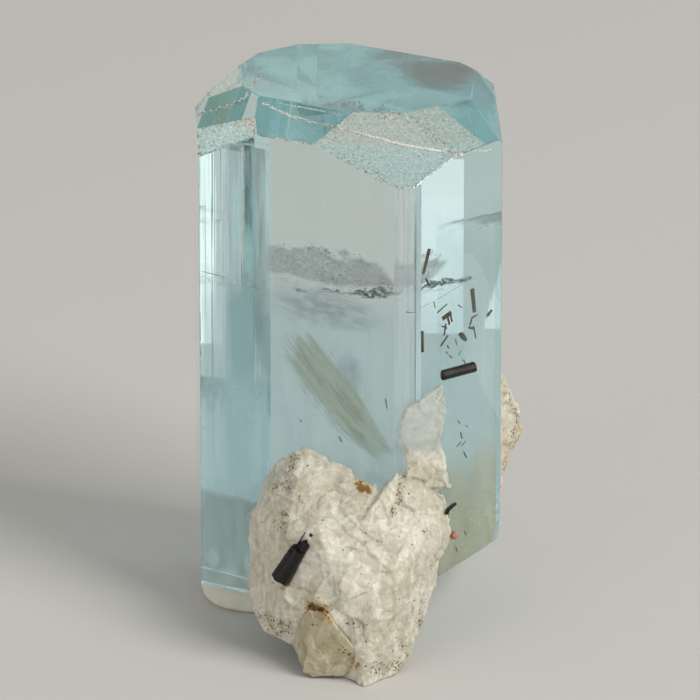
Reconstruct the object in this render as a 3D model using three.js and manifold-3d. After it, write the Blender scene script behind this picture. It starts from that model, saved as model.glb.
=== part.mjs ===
import * as THREE from 'three';
import { ConvexGeometry } from 'three/addons/geometries/ConvexGeometry.js';
import { mergeVertices } from 'three/addons/utils/BufferGeometryUtils.js';
import Module from 'manifold-3d';

// A gem aquamarine prism standing on putty, with albite matrix grown on its foot.
// Millimetres, +Z up. While the pieces are made, x = y = 0 is the crystal's long axis and
// z = 0 is the level of its broken base. The whole is then set with the middle of its
// foot at the origin.

const clearance = 0.3;      // gap kept between pieces that touch
const floorDepth = 2.8;     // from the crystal's base down to the surface it stands on
const bodySize = 120;       // side of the blocks that the crystal is cut from and with

// One plane of the crystal. Azimuth is turned from -Y towards +X, dip is the lean of the
// plane's normal away from straight up, and distance is measured from the base point.
const face = (azimuth, dip, distance) => ({ azimuth, dip, distance });

const prismFaces = [
  face(-27, 90, 9.26),
  face(33, 90, 13.0),
  face(93, 90, 11.74),
  face(153, 90, 9.54),
  face(-147, 90, 11.45),
  face(-87, 90, 11.98),
  face(3, 90, 12.45),       // narrow striated face between the two front faces
];

const tipFaces = [
  face(0, 0, 41.12),        // the flat top
  face(-27, 30, 38.58),
  face(33, 27, 40.46),
  face(86, 42, 37.2),
  face(153, 45, 34.85),
  face(-147, 44, 36.25),
  face(-87, 30, 39.76),
  face(-2.3, 40, 35.89),    // the large frosted corner face
  face(-57, 46, 34.16),     // the small frosted corner face
  face(-117, 50, 33.66),
  face(123, 44, 36.54),
  face(-177, 45, 35.47),
];

const brokenFaces = [
  face(0, 180, 0.24),       // the base, broken nearly square
  face(60, 144.5, 4.09),    // the break that climbs under the right-hand side
  face(70, 103, 11.87),     // a chip off the right-hand corner
];

const putty = {
  length: 18,
  width: 8.3,
  middle: [-2.8, -0.4],
  roundness: 0.8,
};

const schorlCrystal = {
  length: 3.6,
  bottomRadius: 0.75,
  topRadius: 0.5,
  sides: 9,
  middle: [-4.7, -14.8, 6.4],
  lean: [1.7, -0.2, 3.2],
};

const schorlRod = {
  length: 3.0,
  radius: 0.5,
  sides: 9,
  middle: [8.9, -9.8, 20.35],
  lean: [0.8387, 0.5446, 0.02],
};

const splinter = {
  radius: 0.13,
  sides: 6,
  steps: 8,
  route: [[7.8, -11.8, 9.1], [8.05, -11.75, 9.55], [8.55, -11.4, 9.8]],
};

const garnet = {
  radius: 0.36,
  middle: [8.45, -10.95, 6.9],
};

const wasm = await Module();
wasm.setup();

function toSolid(geometry) {
  geometry.deleteAttribute('normal');
  geometry.deleteAttribute('uv');
  const merged = mergeVertices(geometry, 1e-4);
  return new wasm.Manifold(new wasm.Mesh({
    numProp: 3,
    vertProperties: Float32Array.from(merged.attributes.position.array),
    triVerts: Uint32Array.from(merged.index.array),
  }));
}

function toGeometry(solid) {
  const { vertProperties, triVerts } = solid.getMesh();
  const geometry = new THREE.BufferGeometry();
  geometry.setAttribute('position', new THREE.BufferAttribute(vertProperties, 3));
  geometry.setIndex(new THREE.BufferAttribute(triVerts, 1));
  geometry.computeVertexNormals();
  return geometry;
}

function normalOf({ azimuth, dip }) {
  const turn = THREE.MathUtils.degToRad(azimuth);
  const lean = THREE.MathUtils.degToRad(dip);
  return new THREE.Vector3(
    Math.sin(turn) * Math.sin(lean),
    -Math.cos(turn) * Math.sin(lean),
    Math.cos(lean),
  );
}

// A large block that lies wholly outside one face of the crystal.
function blockBeyond(plane, extra) {
  const block = new THREE.BoxGeometry(bodySize, bodySize, bodySize);
  block.translate(0, 0, bodySize / 2 + plane.distance + extra);
  const up = new THREE.Vector3(0, 0, 1);
  block.applyQuaternion(new THREE.Quaternion().setFromUnitVectors(up, normalOf(plane)));
  return toSolid(block);
}

// The crystal's shape, with every face moved out by extra.
function crystalShape(extra) {
  let body = toSolid(new THREE.BoxGeometry(bodySize, bodySize, bodySize));
  for (const plane of [...prismFaces, ...tipFaces, ...brokenFaces]) {
    body = body.subtract(blockBeyond(plane, extra));
  }
  return body;
}

// A broken stone: the hull of its corners, each moved out from the middle by extra.
function stone(corners, extra = 0) {
  const points = corners.map((corner) => new THREE.Vector3(...corner));
  const middle = new THREE.Vector3();
  points.forEach((point) => middle.addScaledVector(point, 1 / points.length));
  for (const point of points) {
    const outward = point.clone().sub(middle).setLength(extra);
    point.add(outward);
  }
  return toSolid(new ConvexGeometry(points));
}

// A thin plate: the hull of its front corners and of the same corners set back by depth.
function plate(corners, depth) {
  const back = corners.map(([x, y, z]) => [x, y + depth, z]);
  return stone([...corners, ...back]);
}

// A tapering prism about its middle, its length along lean.
function needle({ length, bottomRadius, topRadius, radius, sides, middle, lean }, extra = 0) {
  const shape = new THREE.CylinderGeometry(
    (topRadius ?? radius) + extra,
    (bottomRadius ?? radius) + extra,
    length + 2 * extra,
    sides,
  );
  const along = new THREE.Vector3(...lean).normalize();
  const up = new THREE.Vector3(0, 1, 0);
  shape.applyQuaternion(new THREE.Quaternion().setFromUnitVectors(up, along));
  shape.translate(...middle);
  return toSolid(shape);
}

function splinterShape(extra = 0) {
  const section = new THREE.Shape();
  const radius = splinter.radius + extra;
  for (let i = 0; i < splinter.sides; i += 1) {
    const turn = (i / splinter.sides) * 2 * Math.PI;
    const place = [radius * Math.cos(turn), radius * Math.sin(turn)];
    if (i === 0) section.moveTo(...place);
    else section.lineTo(...place);
  }
  section.closePath();
  const route = splinter.route.map((point) => new THREE.Vector3(...point));
  return toSolid(new THREE.ExtrudeGeometry(section, {
    extrudePath: new THREE.CatmullRomCurve3(route),
    steps: splinter.steps,
    bevelEnabled: false,
  }));
}

function garnetShape(extra = 0) {
  const grain = new THREE.DodecahedronGeometry(garnet.radius + extra);
  grain.translate(...garnet.middle);
  return toSolid(grain);
}

const quartzCorners = [
  [-4.6, -14.2, -0.8],
  [-3.6, -16.8, -2.3],
  [-2.9, -17.2, -2.75],
  [-1.5, -17.0, -2.0],
  [-0.3, -17.3, -2.4],
  [1.4, -18.0, -0.7],
  [-0.6, -18.2, 1.8],
  [-1.8, -17.6, 3.3],
  [-3.2, -16.4, 2.9],
  [-2.4, -13.2, -1.6],
  [-1.6, -13.2, 1.6],
  [0.0, -14.0, -0.8],
];

function puttyShape() {
  const { length, width, middle, roundness } = putty;
  const endRadius = width / 2 - roundness;
  const reach = (length - width) / 2;
  const outline = new THREE.Shape();
  outline.absarc(reach, 0, endRadius, -Math.PI / 2, Math.PI / 2, false);
  outline.absarc(-reach, 0, endRadius, Math.PI / 2, 1.5 * Math.PI, false);
  outline.closePath();
  const height = floorDepth - brokenFaces[0].distance - clearance;
  const pad = new THREE.ExtrudeGeometry(outline, {
    depth: height - 2 * roundness,
    bevelEnabled: true,
    bevelThickness: roundness,
    bevelSize: roundness,
    bevelSegments: 4,
    curveSegments: 20,
  });
  pad.translate(middle[0], middle[1], roundness - floorDepth);
  return toSolid(pad);
}

function frontAlbiteShape() {
  const upperBlock = stone([
    [-7.8, -6.8, 6.0],
    [-7.8, -9.4, 6.0],
    [-7.6, -9.2, 7.8],
    [-7.8, -10.4, 1.6],
    [-7.8, -6.8, 1.6],
    [-6.6, -7.1, 10.2],
    [-5.4, -7.8, 12.4],
    [-3.6, -8.8, 13.7],
    [-2.3, -9.4, 13.6],
    [-1.0, -10.0, 13.0],
    [0.3, -10.8, 12.6],
    [-4.8, -14.4, 8.8],
    [-2.0, -16.4, 8.8],
    [-0.4, -17.6, 4.0],
    [-5.2, -15.2, 2.8],
    [-7.0, -11.6, 0.0],
    [-6.6, -12.8, -0.6],
    [-4.6, -14.4, -1.0],
    [-4.0, -9.2, -0.8],
    [2.4, -16.2, 7.6],
    [2.6, -11.4, 3.0],
    [0.8, -10.0, 0.0],
  ]);
  const lowerBlock = stone([
    [3.0, -12.4, 12.2],
    [3.9, -12.9, 13.2],
    [4.7, -12.8, 13.1],
    [2.3, -13.0, 11.2],
    [7.8, -11.2, 10.6],
    [7.7, -11.6, 9.0],
    [8.1, -11.6, 7.5],
    [7.9, -12.0, 6.5],
    [7.1, -12.8, 5.1],
    [6.7, -13.4, 3.5],
    [6.3, -14.0, 1.6],
    [5.8, -14.4, 0.2],
    [5.3, -15.2, -0.7],
    [4.5, -15.6, -2.2],
    [3.9, -16.2, -floorDepth],
    [1.3, -18.8, -floorDepth],
    [-0.4, -16.8, -floorDepth],
    [0.0, -13.2, -floorDepth],
    [4.0, -13.2, -floorDepth],
    [4.0, -17.2, 5.6],
    [2.0, -18.2, 2.4],
    [5.6, -15.6, 7.6],
    [0.0, -17.6, 4.8],
    [0.8, -15.6, 9.6],
    [0.8, -10.4, 0.0],
    [6.4, -10.8, 1.6],
    [7.2, -10.4, 8.0],
  ]);
  const upperPlate = plate([
    [7.4, -11.7, 20.0],
    [7.7, -11.6, 18.6],
    [7.7, -11.6, 16.6],
    [7.3, -11.8, 15.0],
    [4.7, -13.5, 15.2],
    [4.2, -13.6, 16.2],
    [4.2, -13.6, 17.4],
    [4.7, -13.5, 18.7],
  ], 2);
  const lowerPlate = plate([
    [4.7, -13.5, 15.2],
    [7.3, -11.8, 15.0],
    [6.9, -12.2, 14.0],
    [7.4, -12.1, 12.6],
    [8.2, -11.4, 10.9],
    [4.6, -13.3, 12.0],
  ], 2);
  let mass = upperBlock.add(lowerBlock).add(upperPlate).add(lowerPlate);
  mass = mass.subtract(crystalShape(clearance));
  mass = mass.subtract(stone(quartzCorners, 2 * clearance));
  mass = mass.subtract(needle(schorlCrystal, clearance));
  mass = mass.subtract(splinterShape(clearance));
  return mass.subtract(garnetShape(clearance));
}

function sideAlbiteShape() {
  const upperBlock = stone([
    [11.8, -3.6, 18.1],
    [11.8, 0.4, 17.2],
    [12.6, -2.4, 16.2],
    [13.7, -1.2, 13.9],
    [13.5, -0.8, 12.4],
    [14.0, -0.8, 11.7],
    [12.8, -1.2, 9.0],
    [12.3, -2.0, 8.2],
    [11.7, -4.0, 8.8],
    [11.7, 3.2, 15.2],
    [13.2, 2.0, 12.0],
    [11.3, 3.6, 9.6],
    [10.5, 0.0, 12.0],
  ]);
  const lowerBlock = stone([
    [12.2, -2.8, 8.8],
    [12.3, -1.2, 5.6],
    [11.8, -3.6, 5.3],
    [11.3, 3.6, 5.4],
    [12.4, 3.0, 9.6],
    [11.6, 4.8, 9.4],
    [10.5, 0.0, 8.0],
  ]);
  const backBlock = stone([
    [12.2, 2.8, 9.6],
    [12.4, 4.4, 8.0],
    [11.4, 6.2, 10.0],
    [8.4, 8.0, 8.8],
    [7.2, 8.4, 6.8],
    [8.8, 7.6, 4.8],
    [11.8, 5.4, 5.0],
    [9.5, 4.0, 7.0],
  ]);
  return upperBlock.add(lowerBlock).add(backBlock).subtract(crystalShape(clearance));
}

const finishes = {
  aquamarine: new THREE.MeshStandardMaterial({
    color: 0x9fc4c8,
    roughness: 0.05,
    metalness: 0,
    transparent: true,
    opacity: 0.55,
  }),
  albite: new THREE.MeshStandardMaterial({ color: 0xe4ddcb, roughness: 0.75, metalness: 0 }),
  creamAlbite: new THREE.MeshStandardMaterial({ color: 0xe0d4b8, roughness: 0.8, metalness: 0 }),
  quartz: new THREE.MeshStandardMaterial({ color: 0xb0a182, roughness: 0.35, metalness: 0 }),
  schorl: new THREE.MeshStandardMaterial({ color: 0x1b1617, roughness: 0.3, metalness: 0 }),
  garnet: new THREE.MeshStandardMaterial({ color: 0xb05a30, roughness: 0.3, metalness: 0 }),
  putty: new THREE.MeshStandardMaterial({ color: 0xd8d6d0, roughness: 0.7, metalness: 0 }),
};

const pieces = {
  aquamarine_crystal: [crystalShape(0).subtract(needle(schorlRod, clearance)), finishes.aquamarine],
  albite_front: [frontAlbiteShape(), finishes.albite],
  albite_side: [sideAlbiteShape(), finishes.creamAlbite],
  quartz_grain: [stone(quartzCorners), finishes.quartz],
  schorl_on_matrix: [needle(schorlCrystal), finishes.schorl],
  schorl_rod: [needle(schorlRod), finishes.schorl],
  schorl_splinter: [splinterShape(), finishes.schorl],
  garnet_grain: [garnetShape(), finishes.garnet],
  mounting_putty: [puttyShape(), finishes.putty],
};

const specimen = new THREE.Group();
for (const [name, [solid, finish]] of Object.entries(pieces)) {
  const mesh = new THREE.Mesh(toGeometry(solid), finish);
  mesh.name = name;
  specimen.add(mesh);
}

const box = new THREE.Box3().setFromObject(specimen);
const middle = box.getCenter(new THREE.Vector3());
specimen.position.set(-middle.x, -middle.y, -box.min.z);

export default specimen;
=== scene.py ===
import math
import random

import bmesh
import bpy
from mathutils import Matrix, Vector, noise


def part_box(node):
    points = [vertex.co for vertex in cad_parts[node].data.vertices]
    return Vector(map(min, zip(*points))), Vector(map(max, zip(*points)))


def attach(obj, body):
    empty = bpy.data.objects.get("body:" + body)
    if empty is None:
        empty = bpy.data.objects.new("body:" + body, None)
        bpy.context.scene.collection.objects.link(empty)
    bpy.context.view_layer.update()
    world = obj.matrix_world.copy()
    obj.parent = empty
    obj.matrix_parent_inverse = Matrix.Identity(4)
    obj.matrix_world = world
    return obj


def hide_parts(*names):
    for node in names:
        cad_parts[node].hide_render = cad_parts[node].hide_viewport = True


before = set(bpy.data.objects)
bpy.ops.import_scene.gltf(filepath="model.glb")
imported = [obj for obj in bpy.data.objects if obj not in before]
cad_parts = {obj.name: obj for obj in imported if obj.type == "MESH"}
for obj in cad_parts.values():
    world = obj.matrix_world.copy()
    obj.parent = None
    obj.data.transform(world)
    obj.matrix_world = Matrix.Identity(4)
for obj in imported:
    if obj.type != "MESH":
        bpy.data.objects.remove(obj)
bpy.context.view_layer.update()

mm = 0.001
cutTolerance = 1e-5
sameFacing = 0.99998

# Everything is modelled in millimetres round the crystal: its long axis at x = y = 0 and its
# broken base at z = 0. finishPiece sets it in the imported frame, in metres.
crystalLow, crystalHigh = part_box("aquamarine_crystal")
crystalPlace = {"fromLeft": 12.294, "fromBack": 12.002, "baseHeight": 0.24}
axisFoot = Vector((
    crystalLow.x + crystalPlace["fromLeft"] * mm,
    crystalHigh.y - crystalPlace["fromBack"] * mm,
    crystalLow.z + crystalPlace["baseHeight"] * mm,
))
floorLevel = -axisFoot.z / mm
toFrame = Matrix.Translation(axisFoot) @ Matrix.Scale(mm, 4)

studio = {
    "elevation": 22,
    "distance": 0.65,
    "target": (0.18, 0.0, 18.3),
    "widthSeen": 0.056,
    "sensor": 36,
    "floorSize": 6.0,
    "floorColour": (0.565, 0.553, 0.53),
    "worldColour": (0.53, 0.525, 0.51),
    "worldStrength": 0.92,
    "keySpot": (0.64, -0.48, 0.68),
    "keySize": (0.50, 0.50),
    "keyPower": 8.4,
    "fillSpot": (-0.50, -0.60, 0.17),
    "fillSize": (0.34, 0.20),
    "fillPower": 1.0,
    "lightColour": (1.0, 0.985, 0.965),
    "lightAim": (0, 0, 0.02),
    "cardColour": (1.0, 0.955, 0.97),
    "cardLift": 0.6,
    "clip": (0.01, 20),
    "bounces": {
        "max_bounces": 20, "glossy_bounces": 12, "transmission_bounces": 16, "transparent_max_bounces": 24,
    },
}

# Low white cards, unseen by matt surfaces, so that the back faces of the crystal have something
# bright to send forward: middle on the floor, heading, length and width in mm, and brightness.
whiteCards = {
    "cardRight": ((77.5, -19.8), 70.2, 28.4, 5.4, 0.52),
    "cardRightNear": ((55.2, -11.8), 70.2, 19.5, 4.6, 0.50),
    "cardLeft": ((-64.1, -35.5), -53.3, 22.8, 5.2, 0.37),
    "cardLeftNear": ((-50.9, -25.5), -53.3, 10.2, 5.2, 0.36),
    "cardLeftFar": ((-77.2, -45.3), -53.3, 10.0, 5.2, 0.33),
}


def place(x, y, z):
    return toFrame @ Vector((x, y, z))


def normalOf(azimuth, dip=90):
    turn, lean = math.radians(azimuth), math.radians(dip)
    return Vector((
        math.sin(turn) * math.sin(lean),
        -math.cos(turn) * math.sin(lean),
        math.cos(lean),
    ))


def tangentOf(azimuth):
    turn = math.radians(azimuth)
    return Vector((math.cos(turn), math.sin(turn), 0))


def makeCamera():
    data = bpy.data.cameras.new("camera")
    data.sensor_width = studio["sensor"]
    data.lens = studio["sensor"] * studio["distance"] / studio["widthSeen"]
    data.clip_start, data.clip_end = studio["clip"]
    camera = bpy.data.objects.new("camera", data)
    lean = math.radians(studio["elevation"])
    back = Vector((0, -math.cos(lean), math.sin(lean))) * studio["distance"]
    camera.location = place(*studio["target"]) + back
    camera.rotation_euler = (math.pi / 2 - lean, 0, 0)
    bpy.context.scene.collection.objects.link(camera)
    bpy.context.scene.camera = camera


def addLight(name, spot, size, power, turn):
    data = bpy.data.lights.new(name, "AREA")
    data.shape = "RECTANGLE"
    data.size, data.size_y = size
    data.energy = power
    data.color = studio["lightColour"]
    lamp = bpy.data.objects.new(name, data)
    lamp.location = spot
    lamp.rotation_euler = turn
    lamp.visible_camera = False
    bpy.context.scene.collection.objects.link(lamp)
    return lamp


def addSoftbox(name, spot, size, power):
    turn = (Vector(spot) - Vector(studio["lightAim"])).to_track_quat("Z", "Y").to_euler()
    addLight(name, spot, size, power, turn)


def addCard(name, middle, heading, length, width, brightness):
    spot = place(*middle, floorLevel + studio["cardLift"])
    size = (width * mm, length * mm)
    power = brightness * math.pi * size[0] * size[1]
    card = addLight(name, spot, size, power, (math.pi, 0, math.radians(heading)))
    card.data.color = studio["cardColour"]
    card.visible_diffuse = False


def lightStudio():
    addSoftbox("key", studio["keySpot"], studio["keySize"], studio["keyPower"])
    addSoftbox("fill", studio["fillSpot"], studio["fillSize"], studio["fillPower"])
    for name, card in whiteCards.items():
        addCard(name, *card)
    world = bpy.data.worlds.new("studio")
    world.use_nodes = True
    background = world.node_tree.nodes["Background"]
    background.inputs["Color"].default_value = (*studio["worldColour"], 1)
    background.inputs["Strength"].default_value = studio["worldStrength"]
    scene = bpy.context.scene
    scene.world = world
    scene.view_settings.view_transform = "Standard"
    for kind, count in studio["bounces"].items():
        setattr(scene.cycles, kind, count)


makeCamera()
lightStudio()
print("camera and lights set")


# Node helpers.
def addNode(tree, kind, feeds=None, **settings):
    made = tree.nodes.new("ShaderNode" + kind)
    for name, value in settings.items():
        setattr(made, name, value)
    feedAll(tree, made, feeds or {})
    return made


def feed(tree, socket, value):
    if isinstance(value, bpy.types.NodeSocket):
        tree.links.new(value, socket)
    elif socket.type == "RGBA":
        socket.default_value = (*value[:3], 1)
    else:
        socket.default_value = value


def blendColour(tree, factor, low, high, mode="MIX"):
    made = addNode(tree, "Mix", {0: factor, 6: low, 7: high}, data_type="RGBA", blend_type=mode)
    return made.outputs[2]


def calc(tree, operation, first, second=0.0):
    return addNode(tree, "Math", {0: first, 1: second}, operation=operation).outputs[0]


def times(tree, first, second):
    return calc(tree, "MULTIPLY", first, second)


def plus(tree, first, second):
    return calc(tree, "ADD", first, second)


def minus(tree, first, second):
    return calc(tree, "SUBTRACT", first, second)


def ramp(tree, value, low, high, toLow=0.0, toHigh=1.0):
    made = addNode(tree, "MapRange", {
        "Value": value, "From Min": low, "From Max": high, "To Min": toLow, "To Max": toHigh,
    }, interpolation_type="SMOOTHSTEP")
    return made.outputs["Result"]


def cloud(tree, vector, scale, detail=3.0, roughness=0.55, distortion=0.0):
    made = addNode(tree, "TexNoise", {
        "Vector": vector, "Scale": scale, "Detail": detail, "Roughness": roughness,
        "Distortion": distortion,
    })
    return made.outputs["Fac"]


def attribute(tree, name):
    return addNode(tree, "Attribute", attribute_name=name).outputs["Fac"]


def stretched(tree, vector, scale, turn=(0, 0, 0)):
    made = addNode(tree, "Mapping", {"Vector": vector, "Rotation": turn, "Scale": scale})
    return made.outputs["Vector"]


# A pattern laid along a turned direction: grain is its size in mm along each turned axis.
def laidAlong(tree, vector, grain, turn):
    made = addNode(tree, "Mapping", {"Vector": vector, "Rotation": turn, "Scale": grain},
                   vector_type="TEXTURE")
    return made.outputs["Vector"]


def millimetres(tree):
    coordinates = addNode(tree, "TexCoord")
    centred = addNode(tree, "VectorMath", {0: coordinates.outputs["Object"], 1: axisFoot},
                      operation="SUBTRACT")
    scaled = addNode(tree, "VectorMath", {0: centred.outputs[0], "Scale": 1 / mm},
                     operation="SCALE")
    return scaled.outputs[0]


def bumpNormal(tree, height, depth, strength=1.0):
    made = addNode(tree, "Bump", {"Height": height, "Distance": depth * mm, "Strength": strength})
    return made.outputs["Normal"]


def feedAll(tree, node, feeds):
    for label, value in feeds.items():
        feed(tree, node.inputs[label], value)


def newMaterial(name, feeds):
    material = bpy.data.materials.new(name)
    material.use_nodes = True
    tree = material.node_tree
    shader = tree.nodes["Principled BSDF"]
    feedAll(tree, shader, feeds)
    return material, tree, shader


def shaded(colour, share):
    return [channel * share for channel in colour]


def newGroup(name, inputs, outputs):
    group = bpy.data.node_groups.new(name, "ShaderNodeTree")
    for label, kind, value in inputs:
        socket = group.interface.new_socket(name=label, in_out="INPUT", socket_type="NodeSocket" + kind)
        if value is not None:
            socket.default_value = value
    for label, kind in outputs:
        group.interface.new_socket(name=label, in_out="OUTPUT", socket_type="NodeSocket" + kind)
    return group, group.nodes.new("NodeGroupInput").outputs, group.nodes.new("NodeGroupOutput").inputs


def useGroup(tree, group, feeds):
    made = tree.nodes.new("ShaderNodeGroup")
    made.node_tree = group
    feedAll(tree, made, feeds)
    return made.outputs


def makeSpecks():
    group, given, result = newGroup("mineralSpecks", [
        ("Vector", "Vector", None), ("Scale", "Float", 3.0),
        ("Share", "Float", 0.3), ("Size", "Float", 0.3),
    ], [("Mask", "Float")])
    bent = addNode(group, "TexNoise", {"Vector": given["Vector"], "Scale": 4.0, "Detail": 1.0})
    moved = addNode(group, "VectorMath", {0: bent.outputs["Color"], "Scale": 0.35}, operation="SCALE")
    vector = addNode(group, "VectorMath", {0: given["Vector"], 1: moved.outputs[0]}).outputs[0]
    cells = addNode(group, "TexVoronoi", {"Vector": vector, "Scale": given["Scale"]})
    tone = addNode(group, "SeparateColor", {"Color": cells.outputs["Color"]})
    chosen = calc(group, "LESS_THAN", tone.outputs[0], given["Share"])
    reach = times(group, given["Size"], plus(group, tone.outputs[1], 0.5))
    dot = ramp(group, minus(group, reach, cells.outputs["Distance"]), 0.0, 0.12)
    feed(group, result["Mask"], times(group, dot, chosen))
    return group


def makeGrain():
    group, given, result = newGroup("sugarGrain", [
        ("Vector", "Vector", None), ("Scale", "Float", 2.0),
    ], [("Tone", "Float"), ("Height", "Float")])
    fine = cloud(group, given["Vector"], times(group, given["Scale"], 2.6), 4.0, 0.65)
    cells = addNode(group, "TexVoronoi", {
        "Vector": given["Vector"], "Scale": given["Scale"], "Randomness": 1.0,
    })
    tone = addNode(group, "SeparateColor", {"Color": cells.outputs["Color"]})
    facet = times(group, cells.outputs["Distance"], -0.55)
    feed(group, result["Tone"], plus(group, times(group, tone.outputs[0], 0.4),
                                     times(group, fine, 0.6)))
    feed(group, result["Height"], plus(group, facet, fine))
    return group


def makeStriae():
    group, given, result = newGroup("striae", [
        ("Vector", "Vector", None), ("Across", "Float", 4.0), ("Along", "Float", 0.03),
    ], [("Height", "Float")])
    spread = addNode(group, "CombineXYZ", {
        "X": given["Across"], "Y": given["Across"], "Z": given["Along"],
    })
    vector = addNode(group, "VectorMath", {0: given["Vector"], 1: spread.outputs[0]},
                     operation="MULTIPLY").outputs[0]
    feed(group, result["Height"], cloud(group, vector, 1.0, 2.0, 0.5))
    return group


specksGroup = makeSpecks()
grainGroup = makeGrain()
striaeGroup = makeStriae()


def finishMesh(bm, name, materials, smooth=False):
    bm.transform(toFrame)
    for face in bm.faces:
        face.smooth = smooth
    mesh = bpy.data.meshes.new(name)
    bm.to_mesh(mesh)
    bm.free()
    for material in materials:
        mesh.materials.append(material)
    piece = bpy.data.objects.new(name, mesh)
    bpy.context.scene.collection.objects.link(piece)
    return piece


def finishPiece(bm, name, material, replaced=None, smooth=False):
    count = len(bm.faces)
    piece = finishMesh(bm, name, [material], smooth)
    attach(piece, "root")
    if replaced:
        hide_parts(replaced)
    print(name, "made of", count, "faces")


def makeFloor():
    material = newMaterial("paleBoard", {
        "Base Color": studio["floorColour"], "Roughness": 0.9, "Specular IOR Level": 0.2,
    })[0]
    bm = bmesh.new()
    half = studio["floorSize"] / 2 / mm
    bmesh.ops.create_grid(bm, x_segments=1, y_segments=1, size=half)
    bmesh.ops.translate(bm, verts=bm.verts, vec=(0, 0, floorLevel))
    finishMesh(bm, "floor", [material])


makeFloor()

# The aquamarine. A face is (azimuth, dip, distance): azimuth turns from the front to the
# right, dip is the lean from straight up. A strip is a narrow face that starts along a prism
# face and is turned a little from it: (azimuth of that face, how far along, its own azimuth).
crystal = {
    "prism": [(-27, 9.26), (3, 12.45), (33, 13.0), (93, 11.74), (153, 9.54), (-147, 11.45), (-87, 11.98)],
    "strips": [(-147, 2.22, -145.5), (-147, -2.6, -150.8), (33, 2.38, 40), (3, 3.55, 1), (3, 4.0, 6.5)],
    "tip": [
        (0, 0, 41.12), (-27, 30, 38.58), (33, 27, 40.46), (86, 42, 37.2), (153, 45, 34.85),
        (-147, 44, 36.25), (-87, 30, 39.76), (-2.3, 40, 35.89), (-57, 46, 34.16),
        (-117, 50, 33.66), (123, 44, 36.54), (-177, 45, 35.47), (-60.2, 42.4, 35.5),
        (-87, 60, 29.3),
    ],
    "base": [(0, 180, 0.24), (60, 144.5, 4.09), (70, 103, 11.87)],
    "block": 60,
    "frosted": {(-2.3, 40): 1.0, (-57, 46): 1.0, (-117, 50): 0.7, (-177, 45): 0.5},
    # the etching runs on over part of the next face: a point on its far edge and the way across it
    "frostedPart": (33, 27, (7.6, -5.9, 40.8), (1.3, 1.8, 0.0)),
    "striated": {-147: 1.0, -145.5: 1.0, -150.8: 0.8, 93: 0.12, 3: 1.0, 1: 1.0, 6.5: 1.0, -87: 0.2},
    "edgeWear": 0.06,
    "sharpFrom": 12,
    # length of the small edges, depth and size of the pits
    "etching": (0.45, 0.035, 0.5),
    "breaking": (1.1, 0.3, 1.8),
    "mostHalvings": 8,
    "striaeAcross": 2.6,
    "striaeAlong": 0.035,
    "frostRoughness": (0.3, 0.5),
    "breakRoughness": 0.45,
    "frostPits": 12.0,
    "breakPits": 20.0,
    "bump": 0.008,
    "ior": 1.577,
    "absorbColour": (0.18, 0.915, 0.945),
    "absorbDensity": 10,
}


def cutAway(bm, normal, point, closed=True):
    cut = bmesh.ops.bisect_plane(
        bm, geom=bm.verts[:] + bm.edges[:] + bm.faces[:], dist=cutTolerance,
        plane_co=point, plane_no=normal, clear_outer=True,
    )
    rim = [item for item in cut["geom_cut"] if isinstance(item, bmesh.types.BMEdge)]
    if closed and rim:
        bmesh.ops.edgeloop_fill(bm, edges=rim)


def cutTo(bm, planes, closed=True):
    for azimuth, dip, distance in planes:
        normal = normalOf(azimuth, dip)
        cutAway(bm, normal, normal * distance, closed)


def bevelEdges(bm, edges, offset, segments=1):
    bmesh.ops.bevel(bm, geom=edges, offset=offset, segments=segments, profile=0.5, affect="EDGES",
                    material=-1, clamp_overlap=True)


def growCap(bm, cap):
    grown = bmesh.ops.extrude_face_region(bm, geom=[cap])["geom"]
    ring = [item for item in grown if isinstance(item, bmesh.types.BMVert)]
    return ring, next(item for item in grown if isinstance(item, bmesh.types.BMFace))


def stripDistance(azimuth, along, turned):
    distance = dict(crystal["prism"])[azimuth]
    edge = normalOf(azimuth) * distance + tangentOf(azimuth) * along
    return normalOf(turned).dot(edge)


def crystalPlanes(grow=0.0, strips=True):
    planes = [(azimuth, 90, distance + grow) for azimuth, distance in crystal["prism"]]
    if strips:
        planes += [(turned, 90, stripDistance(azimuth, along, turned) + grow)
                   for azimuth, along, turned in crystal["strips"]]
    return planes + [(azimuth, dip, distance + grow)
                     for azimuth, dip, distance in crystal["tip"] + crystal["base"]]


def crystalBody(grow=0.0, strips=True):
    bm = bmesh.new()
    bmesh.ops.create_cube(bm, size=2 * crystal["block"])
    cutTo(bm, crystalPlanes(grow, strips))
    bmesh.ops.recalc_face_normals(bm, faces=bm.faces)
    return bm


def facing(face, azimuth, dip):
    return face.normal.dot(normalOf(azimuth, dip)) > sameFacing


def roughen(bm, plane, step, depth, size):
    area = [face for face in bm.faces if facing(face, *plane)]
    rim = {vert for face in area for vert in face.verts}
    bmesh.ops.triangulate(bm, faces=area)
    for halving in range(crystal["mostHalvings"]):
        edges = [edge for edge in bm.edges if edge.calc_length() > step
                 and any(facing(face, *plane) for face in edge.link_faces)]
        if not edges:
            break
        bmesh.ops.subdivide_edges(bm, edges=edges, cuts=1)
        split = [face for face in bm.faces if len(face.verts) > 4 and facing(face, *plane)]
        if split:
            bmesh.ops.triangulate(bm, faces=split)
    area = [face for face in bm.faces if facing(face, *plane)]
    inside = {vert for face in area for vert in face.verts
              if all(facing(other, *plane) for other in vert.link_faces)}
    normal = normalOf(*plane)
    for vert in inside - rim:
        wave = noise.fractal(vert.co / size, 0.8, 2.1, 3)
        vert.co -= normal * depth * (0.5 + 0.5 * wave)


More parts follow.
